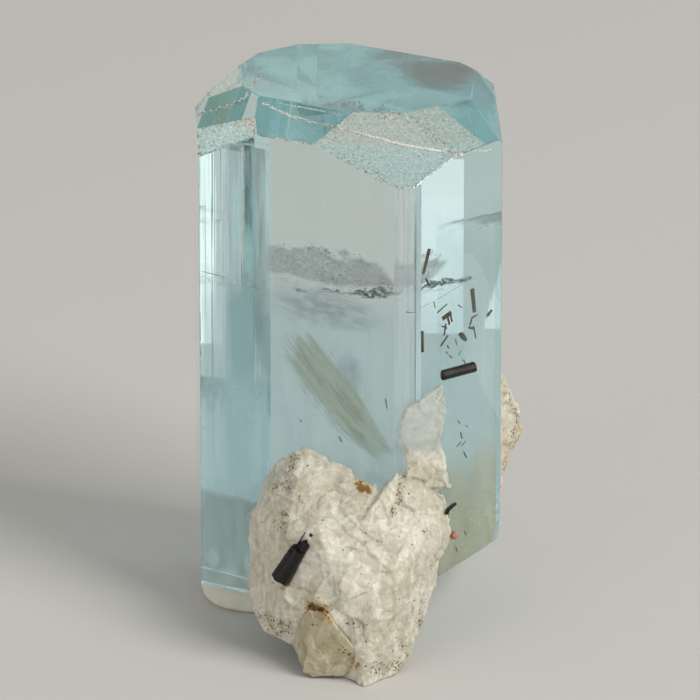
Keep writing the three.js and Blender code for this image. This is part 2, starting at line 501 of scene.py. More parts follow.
def makeCrystal():
    bm = crystalBody()
    partAzimuth, partDip, point, across = crystal["frostedPart"]
    etchedFaces = {face for face in bm.faces
                   if any(facing(face, *plane) for plane in [*crystal["frosted"], (partAzimuth, partDip)])}
    sharp = [edge for edge in bm.edges
             if math.degrees(edge.calc_face_angle(0)) > crystal["sharpFrom"]
             and not etchedFaces.issuperset(edge.link_faces)]
    bevelEdges(bm, sharp, crystal["edgeWear"])
    frost = bm.faces.layers.float.new("frost")
    striated = bm.faces.layers.float.new("striated")
    broken = bm.faces.layers.float.new("broken")
    for face in bm.faces:
        for (azimuth, dip), amount in crystal["frosted"].items():
            if facing(face, azimuth, dip):
                face[frost] = amount
        for azimuth, amount in crystal["striated"].items():
            if facing(face, azimuth, 90):
                face[striated] = amount
        for azimuth, dip, distance in crystal["base"]:
            if facing(face, azimuth, dip):
                face[broken] = 1.0
    shared = [face for face in bm.faces if facing(face, partAzimuth, partDip)]
    rim = dict.fromkeys(edge for face in shared for edge in face.edges)
    corners = dict.fromkeys(vert for face in shared for vert in face.verts)
    bmesh.ops.bisect_plane(bm, geom=[*shared, *rim, *corners], dist=cutTolerance,
                           plane_co=point, plane_no=Vector(across).normalized())
    for face in bm.faces:
        if facing(face, partAzimuth, partDip):
            inside = (face.calc_center_median() - Vector(point)).dot(Vector(across)) < 0
            face[frost] = 1.0 if inside else 0.0
    for plane in crystal["frosted"]:
        roughen(bm, plane, *crystal["etching"])
    for azimuth, dip, distance in crystal["base"]:
        roughen(bm, (azimuth, dip), *crystal["breaking"])
    return bm


def makeGlass():
    material, tree, shader = newMaterial("aquamarine", {
        "Base Color": (1, 1, 1), "IOR": crystal["ior"], "Transmission Weight": 1.0,
    })
    vector = millimetres(tree)
    frost = attribute(tree, "frost")
    broken = attribute(tree, "broken")
    grit = cloud(tree, vector, 2.2, 3.0, 0.7)
    lines = useGroup(tree, striaeGroup, {
        "Vector": vector, "Across": crystal["striaeAcross"], "Along": crystal["striaeAlong"],
    })["Height"]
    dull = plus(tree, times(tree, frost, ramp(tree, grit, 0.3, 0.7, *crystal["frostRoughness"])),
                times(tree, broken, crystal["breakRoughness"]))
    grooves = times(tree, lines, attribute(tree, "striated"))
    pits = times(tree, cloud(tree, vector, 6.0, 2.0, 0.6),
                plus(tree, times(tree, frost, crystal["frostPits"]),
                     times(tree, broken, crystal["breakPits"])))
    feedAll(tree, shader, {
        "Roughness": dull,
        "Normal": bumpNormal(tree, plus(tree, grooves, pits), crystal["bump"]),
    })
    absorption = addNode(tree, "VolumeAbsorption", {
        "Color": crystal["absorbColour"], "Density": crystal["absorbDensity"],
    })
    tree.links.new(absorption.outputs[0], tree.nodes["Material Output"].inputs["Volume"])
    return material


finishPiece(makeCrystal(), "aquamarine", makeGlass(), "aquamarine_crystal")


# Rocks: each block is the hull of its corners. The crystal is cut out of the blocks, they are
# fused by a fine remesh, and the surface is broken up into lumps, cleavage chips and grain.
def hull(corners):
    bm = bmesh.new()
    for corner in corners:
        bm.verts.new(corner)
    made = bmesh.ops.convex_hull(bm, input=bm.verts)
    loose = [item for item in made["geom_interior"] + made["geom_unused"]
             if isinstance(item, bmesh.types.BMVert)]
    bmesh.ops.delete(bm, geom=list(set(loose)), context="VERTS")
    bmesh.ops.recalc_face_normals(bm, faces=bm.faces)
    return bm


def temporary(bm, name):
    mesh = bpy.data.meshes.new(name)
    bm.to_mesh(mesh)
    bm.free()
    piece = bpy.data.objects.new(name, mesh)
    bpy.context.scene.collection.objects.link(piece)
    return piece


def applied(piece):
    seen = piece.evaluated_get(bpy.context.evaluated_depsgraph_get())
    bm = bmesh.new()
    bm.from_mesh(seen.to_mesh())
    seen.to_mesh_clear()
    return bm


def drop(piece):
    mesh = piece.data
    bpy.data.objects.remove(piece)
    bpy.data.meshes.remove(mesh)


# What the three rocks share.
rocks = {
    "chipSeed": 5,
    "cutGap": 0.03,
    "restGap": 0.02,
    "slopeY": 0.375,
    "slopeZ": 0.927,
    "bendSize": 2.3,
    "bend": 1.4,
    "patchSize": 3.1,
    "patchShare": 0.35,
    "reliefSpan": 0.12,
}


def fuse(blocks, voxel):
    knife = temporary(crystalBody(rocks["cutGap"], strips=False), "knife")
    whole = bmesh.new()
    for corners in blocks:
        block = temporary(hull(corners), "block")
        cut = block.modifiers.new("cut", "BOOLEAN")
        cut.operation = "DIFFERENCE"
        cut.solver = "EXACT"
        cut.object = knife
        shaped = applied(block)
        mesh = bpy.data.meshes.new("part")
        shaped.to_mesh(mesh)
        shaped.free()
        whole.from_mesh(mesh)
        bpy.data.meshes.remove(mesh)
        drop(block)
    drop(knife)
    lump = temporary(whole, "lump")
    remesh = lump.modifiers.new("remesh", "REMESH")
    remesh.mode = "VOXEL"
    remesh.voxel_size = voxel
    fused = applied(lump)
    drop(lump)
    return fused


def outsideCrystal(spot, planes):
    best, nearest = max(((normal.dot(spot) - distance, normal) for normal, distance in planes),
                        key=lambda plane: plane[0])
    if best < rocks["restGap"]:
        return spot + nearest * (rocks["restGap"] - best)
    return spot


# How strongly a spot is marked: a mark is a stroke (x, rise, x, rise, width, strength), where
# rise is the height along the slope of a surface that leans back.
def strokeAmount(spot, strokes):
    rise = rocks["slopeY"] * spot.y + rocks["slopeZ"] * spot.z
    total = 0.0
    for x0, r0, x1, r1, width, strength in strokes:
        along = Vector((x1 - x0, r1 - r0))
        toSpot = Vector((spot.x - x0, rise - r0))
        length = along.length_squared
        share = max(0.0, min(1.0, toSpot.dot(along) / length)) if length else 0.0
        away = (toSpot - along * share).length / width
        total = max(total, strength * max(0.0, 1.0 - away))
    return total


def breakSurface(bm, rock):
    noise.seed_set(rocks["chipSeed"])
    bm.normal_update()
    planes = [(normalOf(azimuth, dip), distance) for azimuth, dip, distance in crystalPlanes(strips=False)]
    relief = bm.verts.layers.float.new("relief")
    specks = bm.verts.layers.float.new("specks")
    rust = bm.verts.layers.float.new("rust")
    thin = bm.verts.layers.float.new("thin")
    thinFrom, thinTo = rock["thin"]
    cleave = Vector(rock["cleavage"]).normalized()
    shift = Vector(rock["shift"])
    for vert in bm.verts:
        spot = vert.co + shift
        lump = noise.fractal(spot / rock["lumpSize"], 0.9, 2.1, 3)
        points = noise.voronoi(spot / rock["chipSize"])[1]
        chip = (spot / rock["chipSize"] - points[0]).dot(noise.noise_vector(points[0] * 5.7))
        small = noise.voronoi(spot / rock["grainSize"])
        grain = (spot / rock["grainSize"] - small[1][0]).dot(noise.noise_vector(small[1][0] * 3.1))
        bend = noise.noise(spot / rocks["bendSize"]) * rocks["bend"]
        terrace = (spot.dot(cleave) / rock["stepSize"] + bend) % 1.0
        where = max(0.0, noise.noise(spot / rocks["patchSize"] + shift) + rocks["patchShare"])
        move = (rock["lumpDepth"] * lump + rock["chipDepth"] * chip + rock["grainDepth"] * grain
                - rock["stepDepth"] * terrace * where)
        vert[relief] = (rock["chipDepth"] * chip + rock["grainDepth"] * grain) / rocks["reliefSpan"]
        vert[specks] = strokeAmount(vert.co, rock["specks"])
        vert[rust] = strokeAmount(vert.co, rock["rust"])
        vert[thin] = max(0.0, min(1.0, (vert.co.z - thinFrom) / (thinTo - thinFrom)))
        vert.co = vert.co + vert.normal * move
    low, high = rock["low"], rock["high"]
    for vert in bm.verts:
        spot = outsideCrystal(vert.co, planes)
        vert.co = [max(a, min(b, c)) for a, b, c in zip(low, high, spot)]
    return bm


def rockMaterial(name, look):
    material, tree, shader = newMaterial(name, {
        "Subsurface Weight": look["glow"], "Subsurface Radius": (1.0, 0.85, 0.6),
        "Subsurface Scale": 0.7 * mm,
    })
    vector = millimetres(tree)
    grain = useGroup(tree, grainGroup, {"Vector": vector, "Scale": look["grainScale"]})
    patches = ramp(tree, cloud(tree, vector, 0.32, 4.0, 0.55, 0.4), 0.38, 0.62)
    colour = blendColour(tree, patches, look["white"], look["cream"])
    veil = ramp(tree, cloud(tree, vector, 0.75, 3.0, 0.5, 1.0), 0.5, 0.68, 0.0, 0.75)
    colour = blendColour(tree, veil, colour, look["grey"])
    drawnOut = stretched(tree, vector, (1.3, 1.3, 0.34), look["streakTurn"])
    streaks = cloud(tree, drawnOut, 1.0, 5.0, 0.62, 0.5)
    colour = blendColour(tree, ramp(tree, streaks, 0.46, 0.64, 0.0, 0.85), colour, look["streak"])
    tone = ramp(tree, grain["Tone"], 0.25, 0.75, 0.86, 1.08)
    grey = addNode(tree, "CombineColor", {0: tone, 1: tone, 2: tone}).outputs[0]
    colour = blendColour(tree, 1.0, colour, grey, "MULTIPLY")
    # Darker where the relief sinks: painted shade in the hollows of the rock.
    hollowShade = ramp(tree, attribute(tree, "relief"), 0.15, -0.9, 0.0, look["hollowShadeStrength"])
    colour = blendColour(tree, hollowShade, colour, look["hollowShade"])
    flow = ramp(tree, cloud(tree, vector, 1.8, 4.0, 0.6, 0.8), 0.3, 0.6)
    ragged = times(tree, minus(tree, cloud(tree, vector, 2.6, 4.0, 0.65), 0.5), 2.4)
    chosen = ramp(tree, plus(tree, attribute(tree, "rust"), ragged), 0.25, 1.1)
    chosen = times(tree, chosen, ramp(tree, attribute(tree, "rust"), 0.0, 0.3))
    colour = blendColour(tree, ramp(tree, chosen, 0.0, 0.7), colour, look["ochre"])
    colour = blendColour(tree, ramp(tree, chosen, 0.55, 1.0), colour, look["rustColour"])
    here = attribute(tree, "specks")
    dots = useGroup(tree, specksGroup, {
        "Vector": vector, "Scale": look["speckScale"], "Size": 0.40,
        "Share": plus(tree, times(tree, here, 0.9), look["stray"]),
    })["Mask"]
    film = times(tree, ramp(tree, here, 0.1, 1.0, 0.0, 0.35), flow)
    colour = blendColour(tree, film, colour, look["speckFilm"])
    colour = blendColour(tree, times(tree, dots, 0.9), colour, look["speckColour"])
    if look["thinAlpha"] < 1:
        clear = times(tree, attribute(tree, "thin"), ramp(
            tree, cloud(tree, vector, 0.8, 4.0, 0.6, 0.5), 0.35, 0.6, 0.6, 1.0))
        colour = blendColour(tree, times(tree, clear, 0.6), colour, look["thinColour"])
        feed(tree, shader.inputs["Alpha"], ramp(tree, clear, 0.0, 1.0, 1.0, look["thinAlpha"]))
    rough = ramp(tree, grain["Tone"], 0.3, 0.7, look["rough"], look["rough"] - 0.22)
    feedAll(tree, shader, {
        "Base Color": colour,
        "Roughness": rough,
        "Normal": bumpNormal(tree, grain["Height"], look["bump"]),
    })
    return material


frontAlbite = {
    "blocks": [
        [(-7.8, -6.8, 6.0), (-7.8, -9.4, 6.0), (-7.6, -9.2, 7.8), (-7.8, -10.4, 1.6), (-7.8, -6.8, 1.6),
         (-6.6, -7.1, 10.2), (-5.4, -7.8, 12.4), (-3.6, -8.8, 13.7), (-2.3, -9.4, 13.6),
         (-1.0, -10.0, 13.0), (0.3, -10.8, 12.6), (-4.8, -14.4, 8.8), (-2.0, -16.4, 8.8),
         (-0.4, -17.6, 4.0), (-5.2, -15.2, 2.8), (-7.0, -11.6, 0.0), (-6.6, -12.8, -0.6),
         (-4.6, -14.4, -1.0), (-4.0, -9.2, -0.8), (2.4, -16.2, 7.6), (2.6, -11.4, 3.0),
         (0.8, -10.0, 0.0)],
        [(3.0, -12.4, 12.2), (3.9, -12.9, 13.2), (4.7, -12.8, 13.1), (2.3, -13.0, 11.2),
         (7.8, -11.2, 10.6), (7.7, -11.6, 9.0), (8.1, -11.6, 7.5), (7.9, -12.0, 6.5), (7.1, -12.8, 5.1),
         (6.7, -13.4, 3.5), (6.3, -14.0, 1.6), (5.8, -14.4, 0.2), (5.3, -15.2, -0.7),
         (4.5, -15.6, -2.2), (3.9, -16.2, -2.8), (1.3, -18.8, -2.8), (-0.4, -16.8, -2.8),
         (0.0, -13.2, -2.8), (4.0, -13.2, -2.8), (4.0, -17.2, 5.6), (2.0, -18.2, 2.4),
         (5.6, -15.6, 7.6), (0.0, -17.6, 4.8), (0.8, -15.6, 9.6), (0.8, -10.4, 0.0), (6.4, -10.8, 1.6),
         (7.2, -10.4, 8.0)],
        [(x, y + back, z) for back in (0, 2) for x, y, z in (
            (7.4, -11.7, 20.0), (7.7, -11.6, 18.6), (7.7, -11.6, 16.6), (7.3, -11.8, 15.0),
            (4.7, -13.5, 15.2), (4.2, -13.6, 16.2), (4.2, -13.6, 17.4), (4.7, -13.5, 18.7))],
        [(x, y + back, z) for back in (0, 2) for x, y, z in (
            (4.7, -13.5, 15.2), (7.3, -11.8, 15.0), (6.9, -12.2, 14.0), (7.4, -12.1, 12.6),
            (8.2, -11.4, 10.9), (4.6, -13.3, 12.0))],
        [(-1.6, -16.4, 8.4), (0.6, -15.6, 9.6), (2.8, -16.0, 8.6), (-0.8, -17.5, 4.6),
         (2.2, -18.0, 4.2), (-0.6, -11.4, 12.3), (2.3, -12.5, 12.1), (0.9, -12.0, 12.0),
         (1.0, -18.2, 1.4), (-0.8, -17.0, 2.0), (0.6, -17.4, -1.2), (-1.2, -15.6, -0.4),
         (1.2, -12.0, 0.0), (2.4, -16.4, -1.2)],
        [(-2.4, -16.4, 3.6), (0.2, -17.5, 3.6), (0.6, -17.6, 0.4), (-2.0, -16.3, 0.8),
         (-1.0, -14.0, 3.0), (-1.0, -14.0, 0.6), (-0.7, -17.75, 2.3)],
    ],
    "voxel": 0.13,
    "low": (-8.2, -18.8, -2.8),
    "high": (8.3, -5.0, 20.3),
    "shift": (3.1, 7.7, 1.3),
    "thin": (13.6, 15.6),
    "cleavage": (0.75, 0.25, 0.62),
    "lumpSize": 3.4,
    "lumpDepth": 0.22,
    "chipSize": 1.9,
    "chipDepth": 0.36,
    "grainSize": 0.36,
    "grainDepth": 0.032,
    "stepSize": 1.15,
    "stepDepth": 0.17,
    "specks": [
        (-4.2, 8.6, -5.0, 6.1, 0.55, 1.1), (-5.9, 5.9, -5.4, 6.3, 0.4, 1.2),
        (-5.0, 4.0, -5.2, 2.9, 0.5, 1.4), (-5.7, 3.4, -5.6, 3.3, 0.4, 1.0),
        (-6.8, -4.1, -5.0, -5.2, 0.85, 1.3), (4.2, 6.9, 4.1, 5.3, 0.4, 1.6),
        (4.1, 5.3, 3.3, 3.9, 0.35, 1.6), (2.3, 2.1, 2.4, 2.0, 0.4, 1.4),
        (1.2, 1.8, 1.3, 1.8, 0.35, 1.3), (6.1, 2.7, 6.3, 2.4, 0.45, 1.2),
        (7.0, 0.7, 6.9, 0.0, 0.5, 1.3), (2.1, -8.2, 3.9, -8.0, 0.8, 1.5),
        (6.0, -3.0, 5.6, -5.0, 0.5, 1.0), (-0.2, -4.5, 1.3, -4.8, 0.45, 0.9),
        (4.2, -6.0, 4.8, -7.4, 0.6, 0.8), (7.2, 14.0, 7.4, 12.8, 0.4, 1.2),
        (4.3, 10.0, 4.6, 8.8, 0.4, 0.8), (7.0, 11.6, 7.2, 10.6, 0.35, 0.9),
    ],
    "rust": [
        (0.7, 7.6, 0.8, 6.9, 0.7, 0.9), (0.9, 6.3, 1.6, 6.0, 0.75, 1.3),
        (-2.9, -3.2, -2.0, -3.4, 0.8, 1.3), (-2.1, -3.4, -1.6, -4.2, 0.5, 1.0),
        (0.6, -8.0, 0.7, -7.9, 0.6, 1.0), (-5.4, -1.9, -4.7, -1.5, 0.5, 0.8),
    ],
}
frontLook = {
    "white": (0.635, 0.605, 0.51), "cream": (0.55, 0.51, 0.395), "grey": (0.45, 0.42, 0.325),
    # hollow and dirt give the colour and strength of the painted shade in the rock's hollows.
    "hollowShade": (0.42, 0.375, 0.275), "hollowShadeStrength": 0.22,
    "rustColour": (0.21, 0.105, 0.035), "ochre": (0.50, 0.36, 0.15),
    "speckColour": (0.085, 0.065, 0.035), "speckFilm": (0.36, 0.30, 0.17), "stray": 0.012,
    "speckScale": 5.0, "grainScale": 3.4, "rough": 0.58, "bump": 0.045, "glow": 0.6,
    "streak": (0.72, 0.695, 0.605), "streakTurn": (0.3, 0.75, 0.0),
    "thinColour": (0.66, 0.71, 0.69), "thinAlpha": 0.5,
}


def makeRock(name, rock, finish, look, replaced):
    bm = breakSurface(fuse(rock["blocks"], rock["voxel"]), rock)
    finishPiece(bm, name, rockMaterial(finish, look), replaced, smooth=True)


makeRock("albiteFront", frontAlbite, "albite", frontLook, "albite_front")

sideAlbite = {
    "blocks": [
        [(11.8, -3.6, 18.1), (11.8, 0.4, 17.2), (12.6, -2.4, 16.2), (13.7, -1.2, 13.9),
         (13.5, -0.8, 12.4), (14.0, -0.8, 11.7), (12.8, -1.2, 9.0), (12.3, -2.0, 8.2),
         (11.7, -4.0, 8.8), (11.7, 3.2, 15.2), (13.2, 2.0, 12.0), (11.3, 3.6, 9.6), (10.5, 0.0, 12.0)],
        [(12.2, -2.8, 8.8), (12.3, -1.2, 5.6), (11.8, -3.6, 5.3), (11.3, 3.6, 5.4), (12.4, 3.0, 9.6),
         (11.6, 4.8, 9.4), (10.5, 0.0, 8.0)],
        [(12.2, 2.8, 9.6), (12.4, 4.4, 8.0), (11.4, 6.2, 10.0), (8.4, 8.0, 8.8), (7.2, 8.4, 6.8),
         (8.8, 7.6, 4.8), (11.8, 5.4, 5.0), (9.5, 4.0, 7.0)],
    ],
    "voxel": 0.13,
    "low": (6.8, -4.4, 4.4),
    "high": (14.0, 9.0, 18.4),
    "shift": (9.4, 2.2, 6.1),
    "thin": (90, 91),
    "cleavage": (0.6, -0.2, 0.8),
    "lumpSize": 2.2,
    "lumpDepth": 0.16,
    "chipSize": 1.1,
    "chipDepth": 0.34,
    "grainSize": 0.42,
    "grainDepth": 0.09,
    "stepSize": 0.9,
    "stepDepth": 0.14,
    "specks": [
        (12.0, 15.0, 13.0, 13.2, 0.5, 0.5), (12.9, 13.0, 13.8, 11.4, 0.35, 0.9),
        (13.6, 11.0, 13.0, 9.6, 0.35, 0.9), (12.6, 8.0, 12.4, 5.4, 0.3, 0.6),
    ],
    "rust": [
        (13.9, 11.0, 13.2, 9.0, 0.5, 0.6), (12.2, 15.6, 12.8, 14.0, 0.4, 0.5),
        (12.8, 8.6, 12.4, 6.4, 0.4, 0.5),
    ],
}
sideLook = dict(frontLook, white=(0.66, 0.62, 0.51), cream=(0.60, 0.545, 0.41), grey=(0.52, 0.48, 0.36),
                hollowShadeStrength=0.5, rough=0.7, stray=0.02, bump=0.08, streak=(0.72, 0.68, 0.55), thinAlpha=1)

makeRock("albiteSide", sideAlbite, "creamAlbite", sideLook, "albite_side")

quartz = {
    "blocks": [[
        (-4.6, -14.2, -0.8), (-3.6, -16.8, -2.3), (-2.9, -17.2, -2.75), (-1.5, -17.0, -2.0),
        (-0.3, -17.3, -2.4), (1.4, -18.0, -0.7), (-0.6, -18.2, 1.8), (-1.8, -17.6, 3.3),
        (-3.2, -16.4, 2.9), (-2.4, -13.2, -1.6), (-1.6, -13.2, 1.6), (0.0, -14.0, -0.8),
    ]],
    "voxel": 0.10,
    "low": (-4.8, -18.6, -2.8),
    "high": (1.6, -12.8, 3.5),
    "shift": (1.4, 4.2, 8.6),
    "thin": (90, 91),
    "cleavage": (0.4, 0.3, 0.9),
    "lumpSize": 2.0,
    "lumpDepth": 0.14,
    "chipSize": 1.6,
    "chipDepth": 0.22,
    "grainSize": 0.5,
    "grainDepth": 0.03,
    "stepSize": 1.3,
    "stepDepth": 0.10,
    "specks": [
        (-3.4, -3.6, -2.6, -4.6, 0.3, 0.6), (-0.6, -6.6, 0.6, -7.4, 0.3, 0.6),
    ],
    "rust": [
        (-2.9, -3.2, -2.0, -3.4, 0.9, 1.3), (-2.1, -3.4, -1.4, -4.4, 0.6, 1.0),
        (0.5, -7.9, 0.8, -7.8, 0.7, 1.0), (-3.8, -7.4, -3.2, -8.4, 0.4, 0.5),
    ],
}
quartzLook = dict(frontLook, white=(0.51, 0.46, 0.325), cream=(0.43, 0.37, 0.235), grey=(0.36, 0.32, 0.215),
                  hollowShade=(0.22, 0.17, 0.10), hollowShadeStrength=0.4, rough=0.42, bump=0.03, stray=0.0,
                  streak=(0.56, 0.51, 0.375), thinAlpha=1)

makeRock("quartzGrain", quartz, "smokyQuartz", quartzLook, "quartz_grain")


# Black tourmaline. A rod has grooves along it and broken ends.
def addRod(bm, start, end, radius, topRadius, sides, grooves, roughEnd, rng):
    start, end = Vector(start), Vector(end)
    length = (end - start).length
    made = bmesh.ops.create_cone(
        bm, cap_ends=True, segments=sides, radius1=radius, radius2=topRadius, depth=length,
    )
    verts = made["verts"]
    for vert in verts:
        turn = math.atan2(vert.co.y, vert.co.x)
        groove = 1.0 - grooves * (0.5 + 0.5 * math.cos(3 * turn + radius * 40))
        groove -= grooves * rng.random() * 0.4
        vert.co.x *= groove
        vert.co.y *= groove
        if roughEnd:
            vert.co.z += math.copysign(rng.uniform(-roughEnd, 0.0), vert.co.z) * radius
    turnTo = Vector((0, 0, 1)).rotation_difference((end - start).normalized())
    bmesh.ops.rotate(bm, verts=verts, cent=(0, 0, 0), matrix=turnTo.to_matrix())
    bmesh.ops.translate(bm, verts=verts, vec=(start + end) / 2)


def schorlMaterial(name, look):
    material, tree, shader = newMaterial(name, {"IOR": 1.5, "Specular IOR Level": 0.35})
    vector = millimetres(tree)
    turned = laidAlong(tree, vector, look["grain"], look["turn"])
    lines = cloud(tree, turned, 1.0, 4.0, 0.65)
    patches = ramp(tree, cloud(tree, vector, 1.6, 3.0), 0.4, 0.65)
    colour = blendColour(tree, patches, look["black"], look["brown"])
    feedAll(tree, shader, {
        "Base Color": colour,
        "Roughness": ramp(tree, lines, 0.35, 0.65, look["rough"], look["rough"] + 0.2),
        "Normal": bumpNormal(tree, lines, look["bump"]),
    })
    return material


schorlLook = {
    "black": (0.002, 0.002, 0.002), "brown": (0.006, 0.004, 0.004), "rough": 0.22, "bump": 0.05,
    "grain": (0.11, 0.11, 1.25), "turn": (0, 0.52, -0.19),
}
blackSchorl = schorlMaterial("blackTourmaline", schorlLook)

schorl = {
    "middle": (-4.1, -15.45, 7.12),
    "lean": (1.8, -0.35, 3.2),
    "length": 4.4,
    # along from the foot, along to, radius, top radius, sideways shift and depth
    "bars": [
        (0.0, 0.56, 0.84, 0.68, 0.0, 0.0), (0.05, 0.80, 0.48, 0.36, 0.24, 0.05),
        (0.45, 0.97, 0.33, 0.22, 0.28, -0.10), (0.0, 0.50, 0.46, 0.38, -0.38, 0.10),
        (0.50, 0.97, 0.10, 0.04, -0.30, -0.15), (0.84, 1.0, 0.26, 0.20, 0.24, -0.10),
        (0.38, 0.62, 0.26, 0.17, -0.52, -0.05), (0.60, 0.76, 0.22, 0.15, -0.10, -0.20),
    ],
    "sides": 18,
    "grooves": 0.10,
    "roughEnd": 0.55,
    "edgeWear": 0.02,
    "seed": 4,
}


def makeSchorl():
    rng = random.Random(schorl["seed"])
    bm = bmesh.new()
    along = Vector(schorl["lean"]).normalized()
    across = along.cross(Vector((0, 1, 0))).normalized()
    inward = along.cross(across)
    foot = Vector(schorl["middle"]) - along * schorl["length"] / 2
    for start, end, radius, topRadius, shift, depth in schorl["bars"]:
        base = foot - across * shift + inward * depth
        addRod(bm, base + along * start * schorl["length"], base + along * end * schorl["length"],
               radius, topRadius, schorl["sides"], schorl["grooves"], schorl["roughEnd"], rng)
    bevelEdges(bm, bm.edges[:], schorl["edgeWear"])
    return bm


finishPiece(makeSchorl(), "schorlOnMatrix", blackSchorl, "schorl_on_matrix")

rod = {
    "middle": (8.68, -9.95, 20.52), "lean": (0.8387, 0.5446, 0.02), "length": 2.9, "radius": 0.45,
    "sides": 9, "grooves": 0.06, "roughEnd": 0.30, "edgeWear": 0.03, "seed": 11,
}


def makeSchorlRod():
    rng = random.Random(rod["seed"])
    bm = bmesh.new()
    along = Vector(rod["lean"]).normalized() * rod["length"] / 2
    middle = Vector(rod["middle"])
    addRod(bm, middle - along, middle + along, rod["radius"], rod["radius"],
           rod["sides"], rod["grooves"], rod["roughEnd"], rng)
    bevelEdges(bm, bm.edges[:], rod["edgeWear"], 2)
    return bm


rodSchorl = schorlMaterial("brownBlackTourmaline", dict(
    schorlLook, black=(0.007, 0.005, 0.005), brown=(0.020, 0.014, 0.012), rough=0.30,
    grain=(1.4, 0.11, 0.11), turn=(0, 0, 0.576)))
finishPiece(makeSchorlRod(), "schorlRod", rodSchorl, "schorl_rod")

splinter = {
    "route": [(7.8, -11.8, 9.1), (7.84, -11.8, 9.24), (7.93, -11.78, 9.42), (8.05, -11.75, 9.55),
              (8.2, -11.66, 9.66), (8.38, -11.52, 9.75), (8.55, -11.4, 9.8)],
    "radii": [0.19, 0.17, 0.18, 0.16, 0.17, 0.15, 0.12],
    "sides": 8,
}


def addBentRod(bm, route, radii, sides):
    points = [Vector(point) for point in route]
    heading = (points[1] - points[0]).normalized()
    made = bmesh.ops.create_circle(bm, cap_ends=True, segments=sides, radius=radii[0])
    ring = made["verts"]
    bmesh.ops.rotate(bm, verts=ring, cent=(0, 0, 0),
                     matrix=Vector((0, 0, 1)).rotation_difference(heading).to_matrix())
    bmesh.ops.translate(bm, verts=ring, vec=points[0])
    top = ring[0].link_faces[0]
    for i in range(1, len(points)):
        ring, top = growCap(bm, top)
        nextHeading = (points[min(i + 1, len(points) - 1)] - points[i - 1]).normalized()
        bmesh.ops.translate(bm, verts=ring, vec=points[i] - points[i - 1])
        bmesh.ops.rotate(bm, verts=ring, cent=points[i],
                         matrix=heading.rotation_difference(nextHeading).to_matrix())
        scale = radii[i] / radii[i - 1]
        bmesh.ops.scale(bm, verts=ring, vec=(scale, scale, scale), space=Matrix.Translation(-points[i]))
        heading = nextHeading


# Extruding a cap leaves the old cap inside the rod.
def dropInnerFaces(bm):
    inner = [face for face in bm.faces if all(len(edge.link_faces) > 2 for edge in face.edges)]
    bmesh.ops.delete(bm, geom=inner, context="FACES_ONLY")
    bmesh.ops.recalc_face_normals(bm, faces=bm.faces)


def makeSplinter():
    bm = bmesh.new()
    addBentRod(bm, splinter["route"], splinter["radii"], splinter["sides"])
    dropInnerFaces(bm)
    return bm


finishPiece(makeSplinter(), "schorlSplinter", blackSchorl, "schorl_splinter")

garnet = {
    "middle": (8.38, -10.98, 6.9), "radius": 0.36, "face": 0.29, "turn": 0.5, "turnAxis": (0.3, 1, 0.2),
    "orange": (0.40, 0.155, 0.075), "brown": (0.25, 0.085, 0.035),
}


def makeGarnet():
    bm = bmesh.new()
    bmesh.ops.create_icosphere(bm, subdivisions=2, radius=garnet["radius"])
    for x, y, z in ((1, 1, 0), (1, -1, 0), (-1, 1, 0), (-1, -1, 0), (1, 0, 1), (1, 0, -1),
                    (-1, 0, 1), (-1, 0, -1), (0, 1, 1), (0, 1, -1), (0, -1, 1), (0, -1, -1)):
        normal = Vector((x, y, z)).normalized()
        cutAway(bm, normal, normal * garnet["face"])
    bmesh.ops.recalc_face_normals(bm, faces=bm.faces)
    bmesh.ops.rotate(bm, verts=bm.verts, cent=(0, 0, 0),
                     matrix=Matrix.Rotation(garnet["turn"], 3, garnet["turnAxis"]))
    bmesh.ops.translate(bm, verts=bm.verts, vec=garnet["middle"])
    return bm


def garnetMaterial():
    material, tree, shader = newMaterial("orangeGarnet", {"IOR": 1.6, "Subsurface Weight": 0.2,
                                                          "Subsurface Scale": 0.2 * mm})
    vector = millimetres(tree)
    patches = ramp(tree, cloud(tree, vector, 3.0, 3.0), 0.4, 0.62)
    feedAll(tree, shader, {
        "Base Color": blendColour(tree, patches, garnet["orange"], garnet["brown"]),
        "Roughness": ramp(tree, cloud(tree, vector, 7.0), 0.3, 0.7, 0.4, 0.65),
        "Normal": bumpNormal(tree, cloud(tree, vector, 6.0), 0.02),
    })
    return material


finishPiece(makeGarnet(), "garnetGrain", garnetMaterial(), "garnet_grain")

putty = {
    "length": 18, "width": 8.3, "middle": (-2.8, -0.4), "height": 2.5, "segments": 96,
    # share of the height, and how far the side is drawn in there
    "side": [(0.0, 0.55), (0.03, 0.30), (0.10, 0.12), (0.24, 0.02), (0.45, 0.0), (0.66, 0.05), (0.82, 0.16),
             (0.93, 0.36), (0.99, 0.66), (1.0, 1.0)],
    "insets": (0.9, 0.9, 0.8), "press": 0.12, "pressSize": (3.0, 3.0, 2.0), "flatBelow": 0.02,
    "colour": (0.74, 0.70, 0.605), "smudge": (0.65, 0.61, 0.51),
}


